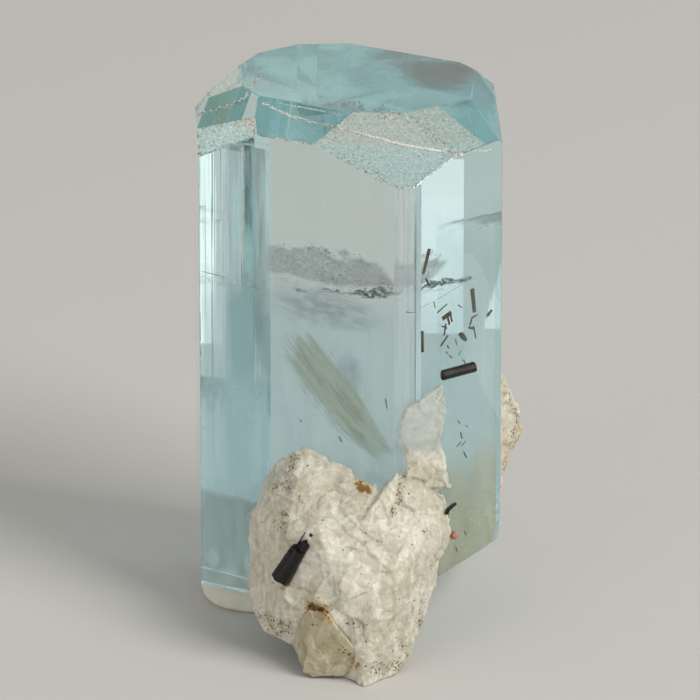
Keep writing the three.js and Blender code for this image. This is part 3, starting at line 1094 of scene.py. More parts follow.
def makePutty():
    bm = bmesh.new()
    half = putty["width"] / 2
    reach = putty["length"] / 2 - half
    made = bmesh.ops.create_circle(bm, cap_ends=True, segments=putty["segments"],
                                   radius=half - putty["side"][0][1])
    for vert in made["verts"]:
        vert.co.x += math.copysign(reach, vert.co.x)
    top = bm.faces[:][0]
    drawnIn = putty["side"][0][1]
    for share, inset in putty["side"][1:]:
        ring, top = growCap(bm, top)
        for vert in ring:
            centre = Vector((math.copysign(reach, vert.co.x), 0, vert.co.z))
            away = vert.co - centre
            away.z = 0
            vert.co = centre + away * (half - inset) / (half - drawnIn)
            vert.co.z = share * putty["height"]
        drawnIn = inset
    for depth in putty["insets"]:
        bmesh.ops.inset_region(bm, faces=[top], thickness=depth, use_even_offset=True)
    bm.normal_update()
    for vert in bm.verts:
        if vert.co.z > putty["flatBelow"]:
            spot = Vector([along / size for along, size in zip(vert.co, putty["pressSize"])])
            wave = noise.fractal(spot, 1.0, 2.0, 3)
            vert.co += vert.normal * putty["press"] * wave
            vert.co.z = min(vert.co.z, putty["height"])
    bmesh.ops.recalc_face_normals(bm, faces=bm.faces)
    bmesh.ops.translate(bm, verts=bm.verts, vec=(*putty["middle"], floorLevel))
    return bm


def puttyMaterial():
    material, tree, shader = newMaterial("mountingPutty", {
        "Roughness": 0.6, "Subsurface Weight": 0.15, "Subsurface Scale": 0.5 * mm,
    })
    vector = millimetres(tree)
    smudge = ramp(tree, cloud(tree, vector, 0.5, 3.0), 0.35, 0.65)
    feedAll(tree, shader, {
        "Base Color": blendColour(tree, smudge, putty["colour"], putty["smudge"]),
        "Normal": bumpNormal(tree, cloud(tree, vector, 1.6, 4.0), 0.05),
    })
    return material


finishPiece(makePutty(), "mountingPutty", puttyMaterial(), "mounting_putty", True)
print("outer pieces made")


# Inside the crystal. A sealed thing is placed by the prism face that it is seen through: how
# far across that face, its height, and its depth behind the face.
def behind(azimuth, across, height, depth):
    distance = dict(crystal["prism"])[azimuth]
    spot = normalOf(azimuth) * (distance - depth) + tangentOf(azimuth) * across
    return Vector((spot.x, spot.y, height))


def trimInside(bm, margin=0.12):
    cutTo(bm, crystalPlanes(-margin), closed=False)


# A grid bent into place, with the strength of its veil as an attribute where it isn't even.
def sheet(steps, spotAt, softAt=None):
    bm = bmesh.new()
    bmesh.ops.create_grid(bm, x_segments=steps[0], y_segments=steps[1], size=0.5)
    soft = bm.verts.layers.float.new("soft") if softAt else None
    for vert in bm.verts:
        u, v = vert.co.x + 0.5, vert.co.y + 0.5
        if softAt:
            vert[soft] = softAt(u, v)
        vert.co = spotAt(u, v)
    return bm


def thicken(bm, thickness=0.02):
    bmesh.ops.recalc_face_normals(bm, faces=bm.faces)
    bmesh.ops.solidify(bm, geom=bm.faces[:], thickness=thickness)
    bmesh.ops.recalc_face_normals(bm, faces=bm.faces)


# A faint glow stands for the light that the clouded crystal passes on.
def veilMaterial(name, roughness=0.6, glow=0.0):
    material, tree, shader = newMaterial(name, {
        "Roughness": roughness, "Specular IOR Level": 0.2, "Emission Strength": glow,
    })
    return material, tree, shader, millimetres(tree)


def tintVeil(tree, shader, tone, alpha):
    feedAll(tree, shader, {"Base Color": tone, "Emission Color": tone, "Alpha": alpha})


def twoTone(tree, pattern, colour, share):
    return blendColour(tree, ramp(tree, pattern, 0.4, 0.6), colour, shaded(colour, share))


def depthBehind(tree, vector, azimuth):
    along = addNode(tree, "VectorMath", {0: vector, 1: normalOf(azimuth)}, operation="DOT_PRODUCT")
    return minus(tree, dict(crystal["prism"])[azimuth], along.outputs["Value"])


def heightOf(tree, vector):
    return addNode(tree, "SeparateXYZ", {"Vector": vector}).outputs["Z"]


# Milky growth zones: faint sheets that follow the prism faces.
hazeLook = {"steps": (24, 30), "glow": 0.16, "ripple": 0.35}
haze = {
    # face, depth, across from and to, height from and to, colour, alpha, top fade
    "milkA": (-27, 1.6, -8.6, 9.0, 0.4, 26.6, (0.62, 0.80, 0.83), 0.14, 4.0),
    "milkB": (-27, 5.2, -9.6, 9.6, 0.4, 27.0, (0.60, 0.78, 0.82), 0.14, 4.0),
    "milkC": (-27, 10.5, -9.6, 9.6, 0.4, 27.0, (0.58, 0.78, 0.82), 0.13, 4.0),
    "milkLeft": (-27, 0.5, -9.2, -2.6, 0.0, 20.5, (0.58, 0.78, 0.82), 0.46, 5.0),
    # The next sheet is darker: painted shade over the low left of the crystal.
    "lowShade": (-27, 0.4, -9.4, 1.0, 0.0, 8.3, (0.38, 0.44, 0.39), 0.36, 0.8),
    "milkRight": (33, 4.0, -4.0, 6.4, 0.6, 24.0, (0.68, 0.82, 0.82), 0.13, 6.0),
    "oliveRight": (33, 2.2, -1.0, 6.4, 0.6, 14.5, (0.56, 0.50, 0.30), 0.46, 7.0),
}


def makeHaze(name, azimuth, depth, left, right, low, high, colour, alpha, fade):
    ripple = min(hazeLook["ripple"], 0.3 * depth)
    bm = sheet(hazeLook["steps"], lambda u, v: behind(
        azimuth, left + (right - left) * u, low + (high - low) * v,
        depth + ripple * noise.noise(Vector((u * 4, v * 4, depth)))))
    trimInside(bm)
    thicken(bm)
    material, tree, shader, vector = veilMaterial(name + "Veil", glow=hazeLook["glow"])
    feed(tree, shader.inputs["Emission Color"], colour)
    streaks = cloud(tree, stretched(tree, vector, (0.5, 0.5, 0.16)), 1.0, 5.0, 0.6, 0.6)
    height = heightOf(tree, vector)
    edge = plus(tree, height, times(tree, minus(tree, streaks, 0.5), 1.6 * fade))
    fall = ramp(tree, edge, high, high - fade, 0.0, 1.0)
    cloudy = ramp(tree, streaks, 0.25, 0.75, 0.65, 1.25)
    feedAll(tree, shader, {
        "Base Color": blendColour(
            tree, ramp(tree, streaks, 0.35, 0.7), colour, shaded(colour, 0.82)),
        "Alpha": times(tree, times(tree, fall, cloudy), alpha),
    })
    finishPiece(bm, name, material)


for name, settings in haze.items():
    makeHaze(name, *settings)

# Level sheets start wider than the crystal and are trimmed to it.
levelSpan = 26

# A cloudy layer low in the crystal, where it passes into its broken foot. Its glow is painted light that
# brightens the view down through the top.
footGlowVeil = {
    "height": 1.1, "ripple": 0.3, "steps": (40, 40),
    "colour": (0.78, 0.86, 0.84), "alpha": 0.34, "glow": 0.34,
}


def makeFootGlowVeil():
    bm = sheet(footGlowVeil["steps"], lambda u, v: Vector((
        levelSpan * (u - 0.5), levelSpan * (v - 0.5),
        footGlowVeil["height"] + footGlowVeil["ripple"] * noise.noise(Vector((u * 7, v * 7, 5))))))
    trimInside(bm)
    thicken(bm)
    material, tree, shader, vector = veilMaterial("footGlowVeil", glow=footGlowVeil["glow"])
    mottled = cloud(tree, vector, 0.6, 4.0, 0.6)
    tintVeil(tree, shader, twoTone(tree, mottled, footGlowVeil["colour"], 0.85),
             ramp(tree, mottled, 0.3, 0.7, footGlowVeil["alpha"], 0.8 * footGlowVeil["alpha"]))
    finishPiece(bm, "footGlowVeil", material)


makeFootGlowVeil()

# The healed fracture that crosses the crystal: dusty behind, crinkled and clear in front.
fracture = {
    "height": 26.9, "climb": 0.09, "wave": 0.42, "waveSize": 4.5, "crumple": 0.10, "crumpleSize": 0.9,
    "steps": 150, "thickness": 0.015, "glow": 0.12, "dustAlpha": 0.42, "dotAlpha": 0.55,
    "dustFrom": 3.2, "dustTo": 12.4, "dustLeft": -6.9, "dustRight": 5.4, "dustSlant": 0.2,
    "dust": (0.36, 0.37, 0.365), "darkDust": (0.24, 0.245, 0.24), "dot": (0.07, 0.07, 0.06),
    "crease": (0.80, 0.88, 0.88),
}


def fractureHeight(x, y):
    big = noise.noise(Vector((x, y, 3.0)) / fracture["waveSize"])
    fine = noise.fractal(Vector((x, y, 9.0)) / fracture["crumpleSize"], 0.8, 2.1, 3)
    return fracture["height"] + fracture["climb"] * x + fracture["wave"] * big + fracture["crumple"] * fine


def makeFracture():
    def spotAt(u, v):
        x, y = levelSpan * (u - 0.5), levelSpan * (v - 0.5)
        return Vector((x, y, fractureHeight(x, y)))

    bm = sheet((fracture["steps"], fracture["steps"]), spotAt)
    trimInside(bm)
    thicken(bm, fracture["thickness"])
    material, tree, shader, vector = veilMaterial("fractureDust", 0.5, fracture["glow"])
    depth = depthBehind(tree, vector, -27)
    squeezed = stretched(tree, vector, (1.0, 0.26, 1.0), (0, 0, math.radians(27)))
    ragged = cloud(tree, squeezed, 0.55, 4.0, 0.6)
    wavy = times(tree, minus(tree, ragged, 0.5), 9.0)
    across = addNode(tree, "SeparateXYZ", {"Vector": vector}).outputs["X"]
    slanted = minus(tree, across, times(tree, depth, fracture["dustSlant"]))
    sides = times(tree, ramp(tree, slanted, fracture["dustLeft"], fracture["dustLeft"] + 1.2),
                 ramp(tree, across, fracture["dustRight"], fracture["dustRight"] - 1.0))
    nearEdge = ramp(tree, plus(tree, depth, times(tree, wavy, 0.25)),
                    fracture["dustFrom"], fracture["dustFrom"] + 2.6)
    farEdge = ramp(tree, plus(tree, depth, wavy), fracture["dustTo"] + 2.5, fracture["dustTo"])
    grit = cloud(tree, squeezed, 4.6, 3.0, 0.7)
    zone = times(tree, times(tree, nearEdge, farEdge), sides)
    body = times(tree, zone, ramp(tree, grit, 0.25, 0.65, 0.45, 1.15))
    dots = useGroup(tree, specksGroup, {
        "Vector": squeezed, "Scale": 4.6, "Share": 0.42, "Size": 0.30,
    })["Mask"]
    dots = times(tree, times(tree, dots, sides), times(tree, nearEdge, ramp(
        tree, plus(tree, depth, wavy), fracture["dustTo"] + 4.0, fracture["dustTo"] + 1.5)))
    turned = stretched(tree, vector, (0.9, 0.9, 0.9), (0, 0, math.radians(27)))
    creases = cloud(tree, turned, 0.8, 5.0, 0.7, 1.2)
    crease = ramp(tree, calc(tree, "ABSOLUTE", minus(tree, creases, 0.5)), 0.028, 0.0)
    crease = times(tree, crease, ramp(tree, depth, 4.6, 2.2, 0.05, 0.6))
    bands = cloud(tree, squeezed, 0.7, 4.0, 0.6)
    colour = blendColour(tree, ramp(tree, bands, 0.4, 0.62), fracture["dust"], fracture["darkDust"])
    colour = blendColour(tree, crease, colour, fracture["crease"])
    colour = blendColour(tree, dots, colour, fracture["dot"])
    alpha = calc(tree, "MAXIMUM", times(tree, body, fracture["dustAlpha"]), crease)
    alpha = calc(tree, "MAXIMUM", alpha, times(tree, dots, fracture["dotAlpha"]))
    tintVeil(tree, shader, colour, alpha)
    finishPiece(bm, "healedFracture", material, smooth=True)


makeFracture()

# Crumpled, silvery skins where the fracture gapes.
skinLook = {
    "steps": (42, 30), "foldSize": 0.7, "ragged": 0.9, "ragSize": 2.2, "edge": 0.8,
    "margin": 0.15, "thickness": 0.012,
}
skins = {
    # middle (x, y), size along and into the crystal, heading, lift, crumple, light and dark tone, seed
    "silverSkin": ((2.6, -8.9), 3.6, 3.0, -27, 0.10, 0.34, (0.86, 0.90, 0.90), (0.10, 0.12, 0.12), 5),
    "silverTail": ((0.3, -7.7), 4.2, 0.9, -27, -0.05, 0.16, (0.82, 0.87, 0.88), (0.20, 0.23, 0.23), 9),
    "greenSkin": ((7.4, -9.4), 5.8, 2.6, 33, 0.35, 0.30, (0.66, 0.80, 0.76), (0.16, 0.24, 0.24), 14),
    "sparkSkin": ((-3.4, -7.2), 1.2, 0.9, -27, -0.3, 0.30, (0.92, 0.95, 0.95), (0.35, 0.40, 0.40), 21),
}


def skinMaterial(name, light, dark):
    material, tree, shader = newMaterial(name, {"Metallic": 0.75})
    vector = millimetres(tree)
    tone = ramp(tree, cloud(tree, vector, 1.7, 4.0, 0.7, 0.8), 0.38, 0.6)
    holes = ramp(tree, cloud(tree, vector, 1.2, 4.0, 0.65, 0.5), 0.40, 0.52, 0.0, 0.75)
    feedAll(tree, shader, {
        "Base Color": blendColour(tree, tone, light, dark),
        "Roughness": ramp(tree, tone, 0.0, 1.0, 0.14, 0.4),
        "Alpha": holes,
        "Normal": bumpNormal(tree, cloud(tree, vector, 3.0, 3.0, 0.6), 0.12),
    })
    return material


def makeSkin(name, middle, length, width, heading, lift, crumple, light, dark, seed):
    along, into = tangentOf(heading), -normalOf(heading)

    def spotAt(u, v):
        flat = Vector((*middle, 0)) + along * length * (u - 0.5) + into * width * (v - 0.5)
        fold = noise.fractal(Vector((flat.x, flat.y, seed)) / skinLook["foldSize"], 0.7, 2.2, 3)
        flat.z = fractureHeight(flat.x, flat.y) + lift + crumple * fold
        return flat

    bm = sheet(skinLook["steps"], spotAt)
    doomed = []
    for face in bm.faces:
        spot = face.calc_center_median()
        away = spot - Vector((*middle, spot.z))
        u = away.dot(along) / length * 2
        v = away.dot(into) / width * 2
        rag = noise.noise(Vector((u * skinLook["ragSize"], v * skinLook["ragSize"], seed)))
        if u * u + v * v + skinLook["ragged"] * rag > skinLook["edge"]:
            doomed.append(face)
    bmesh.ops.delete(bm, geom=doomed, context="FACES")
    trimInside(bm, skinLook["margin"])
    thicken(bm, skinLook["thickness"])
    finishPiece(bm, name, skinMaterial(name, light, dark))


for name, settings in skins.items():
    makeSkin(name, *settings)


def plainMaterial(name, colour, second, roughness, metallic=0.0, scale=2.0):
    material, tree, shader = newMaterial(name, {"Metallic": metallic})
    vector = millimetres(tree)
    feedAll(tree, shader, {
        "Base Color": blendColour(
            tree, ramp(tree, cloud(tree, vector, scale, 4.0), 0.38, 0.62), colour, second),
        "Roughness": ramp(
            tree, cloud(tree, vector, scale * 2.5), 0.35, 0.65, roughness, min(1.0, roughness + 0.2)),
    })
    return material


# Bright threads where the fracture meets the faces: route and radius.
threads = [
    ([(-11.45, -4.2, 26.75), (-10.0, -4.85, 26.65), (-8.4, -5.5, 26.25), (-6.9, -6.2, 26.1)], 0.045),
    ([(-2.0, -6.9, 26.42), (-0.6, -7.7, 26.62), (0.8, -8.3, 26.78), (2.0, -8.9, 26.8)], 0.04),
    ([(5.3, -11.5, 26.5), (6.6, -10.7, 26.75), (8.2, -9.7, 27.35), (9.6, -8.8, 28.1)], 0.03),
    ([(10.0, -7.9, 31.7), (10.4, -7.4, 32.0), (10.9, -7.3, 31.8)], 0.07),
]


def makeThreads():
    bm = bmesh.new()
    for route, radius in threads:
        addBentRod(bm, route, [radius * (0.6 + 0.4 * (i % 2)) for i in range(len(route))], 6)
    dropInnerFaces(bm)
    finishPiece(bm, "fractureThreads", plainMaterial(
        "brightThread", (0.86, 0.93, 0.93), (0.70, 0.82, 0.82), 0.25, 0.3), smooth=True)


makeThreads()

# Needles of tourmaline sealed behind the front right face: across, height (both ends),
# depth and radius.
needles = {
    "face": 33,
    "seed": 8,
    "sides": 8,
    "grooves": 0.12,
    "roughEnd": 0.5,
    "olive": (0.15, 0.118, 0.046),
    "darkOlive": (0.062, 0.050, 0.023),
    "long": [
        (-0.2, 30.9, -0.7, 29.0, 1.8, 0.17), (3.8, 26.6, 4.05, 24.7, 1.8, 0.22),
        (-1.3, 24.4, -1.2, 22.7, 0.6, 0.17), (-2.7, 26.4, -1.9, 26.2, 0.35, 0.05),
        (0.5, 25.5, 1.4, 26.0, 1.5, 0.07), (1.05, 24.9, 1.75, 25.15, 1.5, 0.20),
        (1.4, 25.2, 1.7, 24.2, 1.6, 0.12), (1.7, 25.3, 1.95, 24.4, 1.65, 0.09),
        (0.8, 22.6, 1.5, 23.3, 1.5, 0.10), (1.2, 24.4, 1.1, 23.5, 1.3, 0.09),
        (0.85, 24.3, 1.35, 24.0, 1.35, 0.07), (2.8, 23.1, 3.2, 22.5, 1.8, 0.22),
        (3.6, 23.7, 3.8, 24.2, 1.8, 0.11), (3.75, 24.25, 4.35, 24.35, 1.8, 0.09),
        (3.5, 23.5, 3.9, 23.3, 1.8, 0.12), (3.95, 23.5, 4.2, 22.4, 1.8, 0.07),
        (5.2, 24.2, 5.6, 24.5, 1.3, 0.16), (2.6, 25.6, 2.95, 25.3, 1.9, 0.05),
        (0.05, 26.5, 0.2, 26.0, 1.2, 0.05), (2.1, 22.9, 2.25, 22.4, 1.2, 0.05),
        (-0.8, 28.7, -0.5, 28.1, 0.9, 0.10), (1.3, 22.6, 1.5, 22.3, 1.2, 0.06),
        (1.2, 22.1, 1.35, 21.9, 1.2, 0.06), (1.5, 21.7, 1.8, 21.4, 1.2, 0.05),
        (2.4, 21.5, 2.6, 21.8, 1.2, 0.04), (2.8, 21.0, 3.0, 20.6, 1.2, 0.05),
        (2.3, 16.0, 2.5, 15.7, 1.0, 0.05), (3.0, 15.4, 3.2, 15.2, 1.0, 0.035),
        (2.55, 14.95, 2.7, 14.4, 1.0, 0.06), (2.2, 13.8, 2.6, 14.1, 1.0, 0.05),
        (2.65, 13.8, 3.0, 14.05, 1.0, 0.05), (2.8, 13.2, 3.1, 12.6, 1.0, 0.07),
        (2.0, 5.25, 2.2, 4.8, 0.6, 0.06), (2.8, 6.4, 3.0, 6.0, 0.6, 0.05),
    ],
    "frontFace": -27,
    "front": [
        (3.35, 14.4, 3.5, 14.0, 2.2, 0.07), (-0.15, 15.2, -0.05, 15.0, 2.2, 0.05),
        (7.2, 18.2, 7.3, 17.4, 3.0, 0.07),
    ],
}


def makeNeedles():
    rng = random.Random(needles["seed"])
    bm = bmesh.new()
    for face, rows in ((needles["face"], needles["long"]), (needles["frontFace"], needles["front"])):
        for across, height, toAcross, toHeight, depth, radius in rows:
            addRod(bm, behind(face, across, height, depth), behind(face, toAcross, toHeight, depth + 0.1),
                   radius, radius * rng.uniform(0.75, 1.0), needles["sides"], needles["grooves"],
                   needles["roughEnd"], rng)
    finishPiece(bm, "sealedNeedles", plainMaterial(
        "oliveNeedle", needles["olive"], needles["darkOlive"], 0.5, 0.0, 3.0))


makeNeedles()

# The fibrous green vein: a streaked core and loose fibres round it.
vein = {
    "face": -27, "top": (-1.3, 21.4, 4.5), "foot": (7.0, 12.7, 4.5), "width": 3.0, "seed": 31,
    "fibres": 300, "silver": 120, "fibreFrom": (-0.08, 0.80), "fibreRun": (0.05, 0.22), "fibreDrift": 0.07,
    "fibreDepth": 0.6, "fibreRadius": (0.006, 0.017), "bow": 0.35,
    "coreAlpha": 0.56, "coreSteps": (26, 90), "coreThickness": 0.03, "coreGrain": (0.55, 0.62, 4.5),
    "glow": 0.25,
    "green": (0.43, 0.42, 0.25), "darkGreen": (0.31, 0.31, 0.175), "silverTone": (0.84, 0.89, 0.84),
    "fibre": (0.54, 0.55, 0.38), "darkFibre": (0.40, 0.41, 0.26),
    "lie": (0, math.radians(-43.6), math.radians(-27)),
}


def veinSpot(along, side, depthShift=0.0):
    across = vein["top"][0] + (vein["foot"][0] - vein["top"][0]) * along
    height = vein["top"][1] + (vein["foot"][1] - vein["top"][1]) * along
    run = Vector((vein["foot"][0] - vein["top"][0], vein["foot"][1] - vein["top"][1])).normalized()
    spread = vein["width"] / 2 * (0.55 + 0.75 * math.sin(math.pi * min(1.0, along * 0.8 + 0.2)))
    bow = vein["bow"] * math.sin(math.pi * along)
    return behind(vein["face"], across - run.y * side * spread + bow * run.y,
                  height + run.x * side * spread, vein["top"][2] + depthShift)


def makeVein():
    rng = random.Random(vein["seed"])
    core = sheet(
        vein["coreSteps"],
        lambda u, v: veinSpot(v, 2 * u - 1, 0.25 * noise.noise(Vector((u * 5, v * 3, 1)))),
        lambda u, v: min(1.0, 3.5 * u, 3 * (1 - u), 2.4 * v, 5 * (1 - v)))
    thicken(core, vein["coreThickness"])
    material, tree, shader, vector = veilMaterial("veinCore", glow=vein["glow"])
    lie = laidAlong(tree, vector, vein["coreGrain"], vein["lie"])
    streaks = cloud(tree, lie, 1.0, 5.0, 0.65)
    tone = blendColour(tree, ramp(tree, streaks, 0.4, 0.6), vein["green"], vein["darkGreen"])
    feather = ramp(tree, plus(tree, attribute(tree, "soft"), minus(tree, streaks, 0.5)), 0.0, 0.45)
    tintVeil(tree, shader, tone, times(
        tree, feather, ramp(tree, streaks, 0.3, 0.62, 0.5 * vein["coreAlpha"], vein["coreAlpha"])))
    finishPiece(core, "veinCore", material, smooth=True)
    for name, count, tones, low, high in (
        ("veinFibres", vein["fibres"], (vein["fibre"], vein["darkFibre"]), -1.0, 1.0),
        ("veinSilver", vein["silver"], (vein["silverTone"], vein["fibre"]), -1.15, -0.75),
    ):
        bm = bmesh.new()
        for i in range(count):
            start = rng.uniform(*vein["fibreFrom"])
            end = min(1.04, start + rng.uniform(*vein["fibreRun"]))
            side = rng.gauss((low + high) / 2, (high - low) / 4)
            shift = rng.uniform(-vein["fibreDepth"], vein["fibreDepth"])
            radius = rng.uniform(*vein["fibreRadius"])
            drift = rng.uniform(-vein["fibreDrift"], vein["fibreDrift"])
            addRod(bm, veinSpot(start, side, shift), veinSpot(end, side + drift, shift),
                   radius, radius * 0.5, 4, 0.0, 0.0, rng)
        finishPiece(bm, name, plainMaterial(name + "Finish", *tones, 0.35, 0.1, 1.2))


makeVein()

# Narrow bands just behind a face.
bandLook = {"steps": (12, 40), "margin": 0.08}
bands = {
    # face, depth, across from and to, height from and to, colour, alpha, glow, how fast it changes
    # across and along, and whether it fades round an oval
    # The first band is a dark sheet that stands in for a dark strip seen through the face: painted shade.
    "darkShadeBand": (-27, 0.3, -4.46, -3.82, 29.9, 38.1, (0.05, 0.11, 0.13), 0.42, 0.0, (1.5, 0.4), False),
    "creamLine": (-27, 0.25, -4.76, -4.60, 26.7, 37.9, (0.80, 0.77, 0.70), 0.7, 0.35, (1.5, 0.4), False),
    "paleBand": (-27, 0.4, -6.2, -4.85, 24.0, 37.4, (0.70, 0.86, 0.88), 0.55, 0.32, (2.2, 0.10), False),
    "tealBand": (-27, 0.35, -3.78, -2.62, 19.5, 38.0, (0.26, 0.44, 0.48), 0.30, 0.1, (1.2, 0.12), False),
    "underShade": (-27, 3.0, -5.0, 8.6, 22.6, 27.0, (0.36, 0.41, 0.42), 0.28, 0.0, (0.7, 1.6), True),
    "blueSmudge": (-27, 5.0, 1.8, 5.0, 16.4, 21.6, (0.34, 0.42, 0.47), 0.30, 0.0, (1.9, 0.9), True),
    "edgeLines": (3, 0.2, 3.0, 4.7, 6.0, 37.6, (0.85, 0.94, 0.96), 0.30, 0.2, (4.5, 0.08), False),
    "edgeGlow": (33, 0.12, -2.0, -1.55, 14.0, 36.9, (0.66, 0.80, 0.82), 0.8, 0.3, (2.0, 0.10), False),
}


def ovalFade(u, v):
    return max(0.0, 1.0 - math.hypot(2 * u - 1, 2 * v - 1))


def makeBand(name, azimuth, depth, left, right, low, high, colour, alpha, glow, change, oval):
    bm = sheet(
        bandLook["steps"],
        lambda u, v: behind(azimuth, left + (right - left) * u, low + (high - low) * v, depth),
        lambda u, v: ovalFade(u, v) if oval else min(1.0, 3 * v))
    trimInside(bm, bandLook["margin"])
    thicken(bm)
    material, tree, shader, vector = veilMaterial(name + "Film", glow=glow)
    mottled = cloud(tree, stretched(tree, vector, (change[0], change[0], change[1])), 1.0, 4.0, 0.6)
    fall = ramp(tree, attribute(tree, "soft"), 0.0, 0.8)
    tintVeil(tree, shader, twoTone(tree, mottled, colour, 0.7),
             times(tree, fall, ramp(tree, mottled, 0.38, 0.6, alpha * 0.45, alpha)))
    finishPiece(bm, name, material)


for name, settings in bands.items():
    makeBand(name, *settings)

# A dusky zone close under the top face, at its right end.
topShade = {
    "middle": (7.4, 2.0), "size": (7.4, 8.4), "level": 40.7, "steps": (20, 20),
    "colour": (0.30, 0.27, 0.20), "alpha": 0.42, "glow": 0.1,
}


def makeTopShade():
    middle = Vector((*topShade["middle"], topShade["level"]))
    width, depth = topShade["size"]
    bm = sheet(topShade["steps"],
               lambda u, v: middle + Vector((width * (u - 0.5), depth * (v - 0.5), 0)), ovalFade)
    trimInside(bm)
    thicken(bm)
    material, tree, shader, vector = veilMaterial("topShadeFilm", glow=topShade["glow"])
    mottled = cloud(tree, stretched(tree, vector, (0.35, 0.8, 0.8)), 1.0, 4.0, 0.6)
    ragged = plus(tree, attribute(tree, "soft"), minus(tree, mottled, 0.5))
    tintVeil(tree, shader, twoTone(tree, mottled, topShade["colour"], 0.8),
             ramp(tree, ragged, 0.0, 0.6, 0.0, topShade["alpha"]))
    finishPiece(bm, "topShade", material)


makeTopShade()
print("inclusions made")

# The etched corner faces carry a dull skin, pale grit and brown specks.
etched = {
    # azimuth, dip, pale and brown grains, height above which the skin is gritty, density, glow
    "largeSkin": (-2.3, 40, 260, 330, 39.2, 0.28, 0.0), "smallSkin": (-57, 46, 130, 230, 0, 0.60, 0.26),
    "sideSkin": (33, 27, 80, 110, 0, 0.28, 0.0), "leftSkin": (-87, 30, 20, 50, 0, 0.30, 0.42),
}
etchLook = {
    "seed": 17, "skin": (0.50, 0.63, 0.61), "warmSkin": (0.55, 0.54, 0.46), "gritty": (0.80, 0.82, 0.76),
    "inset": 0.02, "lift": 0.02, "thickness": 0.012, "mostTries": 40000,
    # how far from the edge it thins out, share of it far from the edge, sizes
    "brown": (0.32, 0.035, (0.028, 0.075)), "pale": (0.8, 0.35, (0.025, 0.060)),
    "ridgeGrain": (0.035, 0.085),
}


def tipFace(azimuth, dip):
    bm = crystalBody()
    faces = [face for face in bm.faces if not facing(face, azimuth, dip)]
    bmesh.ops.delete(bm, geom=faces, context="FACES")
    partAzimuth, partDip, point, across = crystal["frostedPart"]
    if (azimuth, dip) == (partAzimuth, partDip):
        cutAway(bm, Vector(across).normalized(), point, closed=False)
    return bm


def makeSkinOn(name, azimuth, dip, density, glow):
    bm = tipFace(azimuth, dip)
    bmesh.ops.inset_region(bm, faces=bm.faces[:], thickness=etchLook["inset"], use_boundary=True)
    largest = max(face.calc_area() for face in bm.faces)
    rims = [face for face in bm.faces if face.calc_area() < largest * 0.9]
    bmesh.ops.delete(bm, geom=rims, context="FACES")
    bmesh.ops.translate(bm, verts=bm.verts, vec=normalOf(azimuth, dip) * etchLook["lift"])
    thicken(bm, etchLook["thickness"])
    material, tree, shader, vector = veilMaterial(name + "Film", 0.7, glow)
    warm = ramp(tree, heightOf(tree, vector), 38.9, 39.5)
    grit = cloud(tree, vector, 4.2, 4.0, 0.75)
    colour = blendColour(tree, warm, etchLook["skin"], etchLook["warmSkin"])
    colour = blendColour(tree, ramp(tree, grit, 0.5, 0.7), colour, etchLook["gritty"])
    tintVeil(tree, shader, colour, ramp(tree, grit, 0.3, 0.66, 0.35 * density, density))
    finishPiece(bm, name, material)


def addGrit(bm, spot, size, rng):
    made = bmesh.ops.create_icosphere(bm, subdivisions=1, radius=size)
    for vert in made["verts"]:
        vert.co = Vector((vert.co.x * rng.uniform(0.7, 1.3), vert.co.y * rng.uniform(0.7, 1.3),
                          vert.co.z * rng.uniform(0.45, 0.9)))
    bmesh.ops.rotate(bm, verts=made["verts"], cent=(0, 0, 0),
                     matrix=Matrix.Rotation(rng.uniform(0, math.pi), 3, (0.3, 0.5, 0.8)))
    bmesh.ops.translate(bm, verts=made["verts"], vec=spot)


def edgeDistance(spot, corners):
    away = 1e9
    for i, corner in enumerate(corners):
        after = corners[(i + 1) % len(corners)]
        along = after - corner
        share = max(0.0, min(1.0, (spot - corner).dot(along) / along.length_squared))
        away = min(away, (corner + along * share - spot).length)
    return away


def scatterGrit(pale, brown, azimuth, dip, paleCount, brownCount, warmFrom, rng):
    flat = tipFace(azimuth, dip)
    corners = [loop.vert.co.copy() for loop in flat.faces[:][0].loops]
    flat.free()
    middle = sum(corners, Vector()) / len(corners)
    shares = [(corner - middle).cross(corners[(i + 1) % len(corners)] - middle).length
              for i, corner in enumerate(corners)]
    brownFade, brownShare, brownSize = etchLook["brown"]
    paleFade, paleShare, paleSize = etchLook["pale"]
    placed = 0
    for attempt in range(etchLook["mostTries"]):
        if placed == paleCount + brownCount:
            break
        i = rng.choices(range(len(corners)), shares)[0]
        a, b = rng.random(), rng.random()
        if a + b > 1:
            a, b = 1 - a, 1 - b
        spot = middle + (corners[i] - middle) * a + (corners[(i + 1) % len(corners)] - middle) * b
        away = edgeDistance(spot, corners)
        if placed < brownCount:
            if rng.random() < math.exp(-away / brownFade) + brownShare:
                addGrit(brown, spot, rng.uniform(*brownSize), rng)
                placed += 1
        elif rng.random() < (math.exp(-away / paleFade) + paleShare) * (1.0 if spot.z > warmFrom else 0.3):
            addGrit(pale, spot, rng.uniform(*paleSize), rng)
            placed += 1


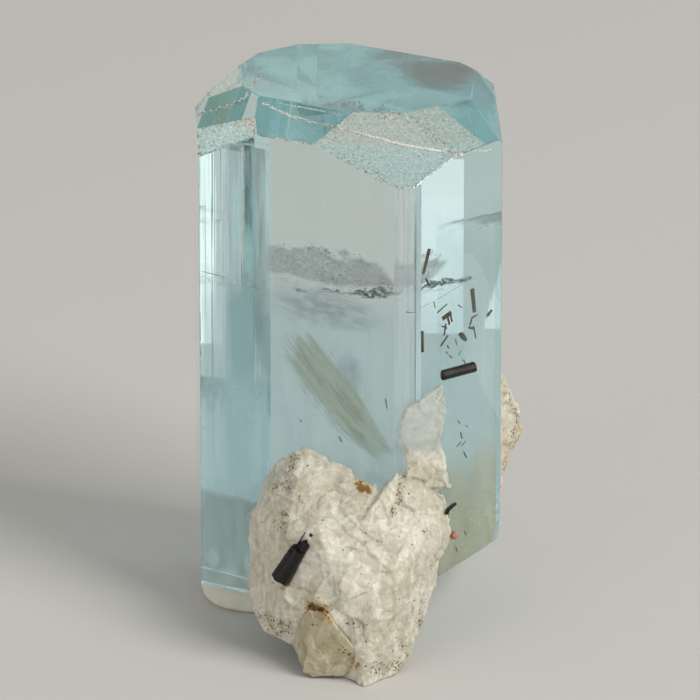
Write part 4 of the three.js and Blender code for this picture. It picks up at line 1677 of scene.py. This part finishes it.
# Worn ridges over the tip: route, half width, how many grains, share of brown ones.
ridges = [
    ([(-6.6, -4.0, 40.8), (-4.5, -5.8, 40.4), (-1.2, -7.7, 40.2), (1.7, -8.5, 39.8), (4.0, -9.1, 39.35),
      (6.6, -9.6, 39.05), (9.0, -9.75, 38.7)], 0.13, 420, 0.03),
    ([(-5.5, -4.3, 40.93), (-2.7, -5.7, 40.93), (0.0, -7.0, 40.85)], 0.03, 60, 0.0),
    ([(-11.8, 1.1, 37.8), (-11.5, -0.8, 38.8), (-9.5, -2.0, 39.85), (-8.0, -2.55, 40.75),
      (-7.7, -1.4, 41.12), (-6.7, 2.8, 41.12)], 0.16, 150, 0.35),
    ([(9.8, -9.1, 38.75), (10.5, -8.75, 38.6), (11.2, -8.2, 38.5)], 0.06, 40, 0.0),
    ([(-6.9, -6.9, 39.2), (-5.4, -7.65, 39.2), (-2.6, -9.08, 39.2)], 0.04, 40, 0.5),
]


def makeEtching():
    rng = random.Random(etchLook["seed"])
    pale, brown = bmesh.new(), bmesh.new()
    for name, (azimuth, dip, paleCount, brownCount, warmFrom, density, glow) in etched.items():
        makeSkinOn(name, azimuth, dip, density, glow)
        scatterGrit(pale, brown, azimuth, dip, paleCount, brownCount, warmFrom, rng)
    for route, width, count, brownShare in ridges:
        points = [Vector(point) for point in route]
        for i in range(count):
            step = rng.uniform(0, len(points) - 1.001)
            spot = points[int(step)].lerp(points[int(step) + 1], step % 1.0)
            spot += Vector([rng.gauss(0, width * share) for share in (0.5, 0.5, 0.3)])
            target = brown if rng.random() < brownShare else pale
            addGrit(target, spot, rng.uniform(*etchLook["ridgeGrain"]), rng)
    # A pale band along the first two ridges: partly wear, partly a painted highlight on the bright edge.
    band = bmesh.new()
    for route, width, count, brownShare in ridges[:2]:
        addBentRod(band, [Vector(point) - Vector((0, 0, width * 0.5)) for point in route],
                   [width * (0.35 + 0.75 * i / len(route)) for i in range(len(route))], 8)
    dropInnerFaces(band)
    finishPiece(band, "wornRidgeHighlight", plainMaterial(
        "wornRidgeHighlight", (0.74, 0.70, 0.68), (0.66, 0.66, 0.64), 0.45, 0.0, 1.5), smooth=True)
    finishPiece(pale, "paleGrit", plainMaterial(
        "paleGrit", (0.74, 0.71, 0.65), (0.66, 0.70, 0.67), 0.5))
    finishPiece(brown, "brownGrit", plainMaterial(
        "brownGrit", (0.16, 0.12, 0.06), (0.26, 0.21, 0.11), 0.7))


makeEtching()
print("etched faces made")
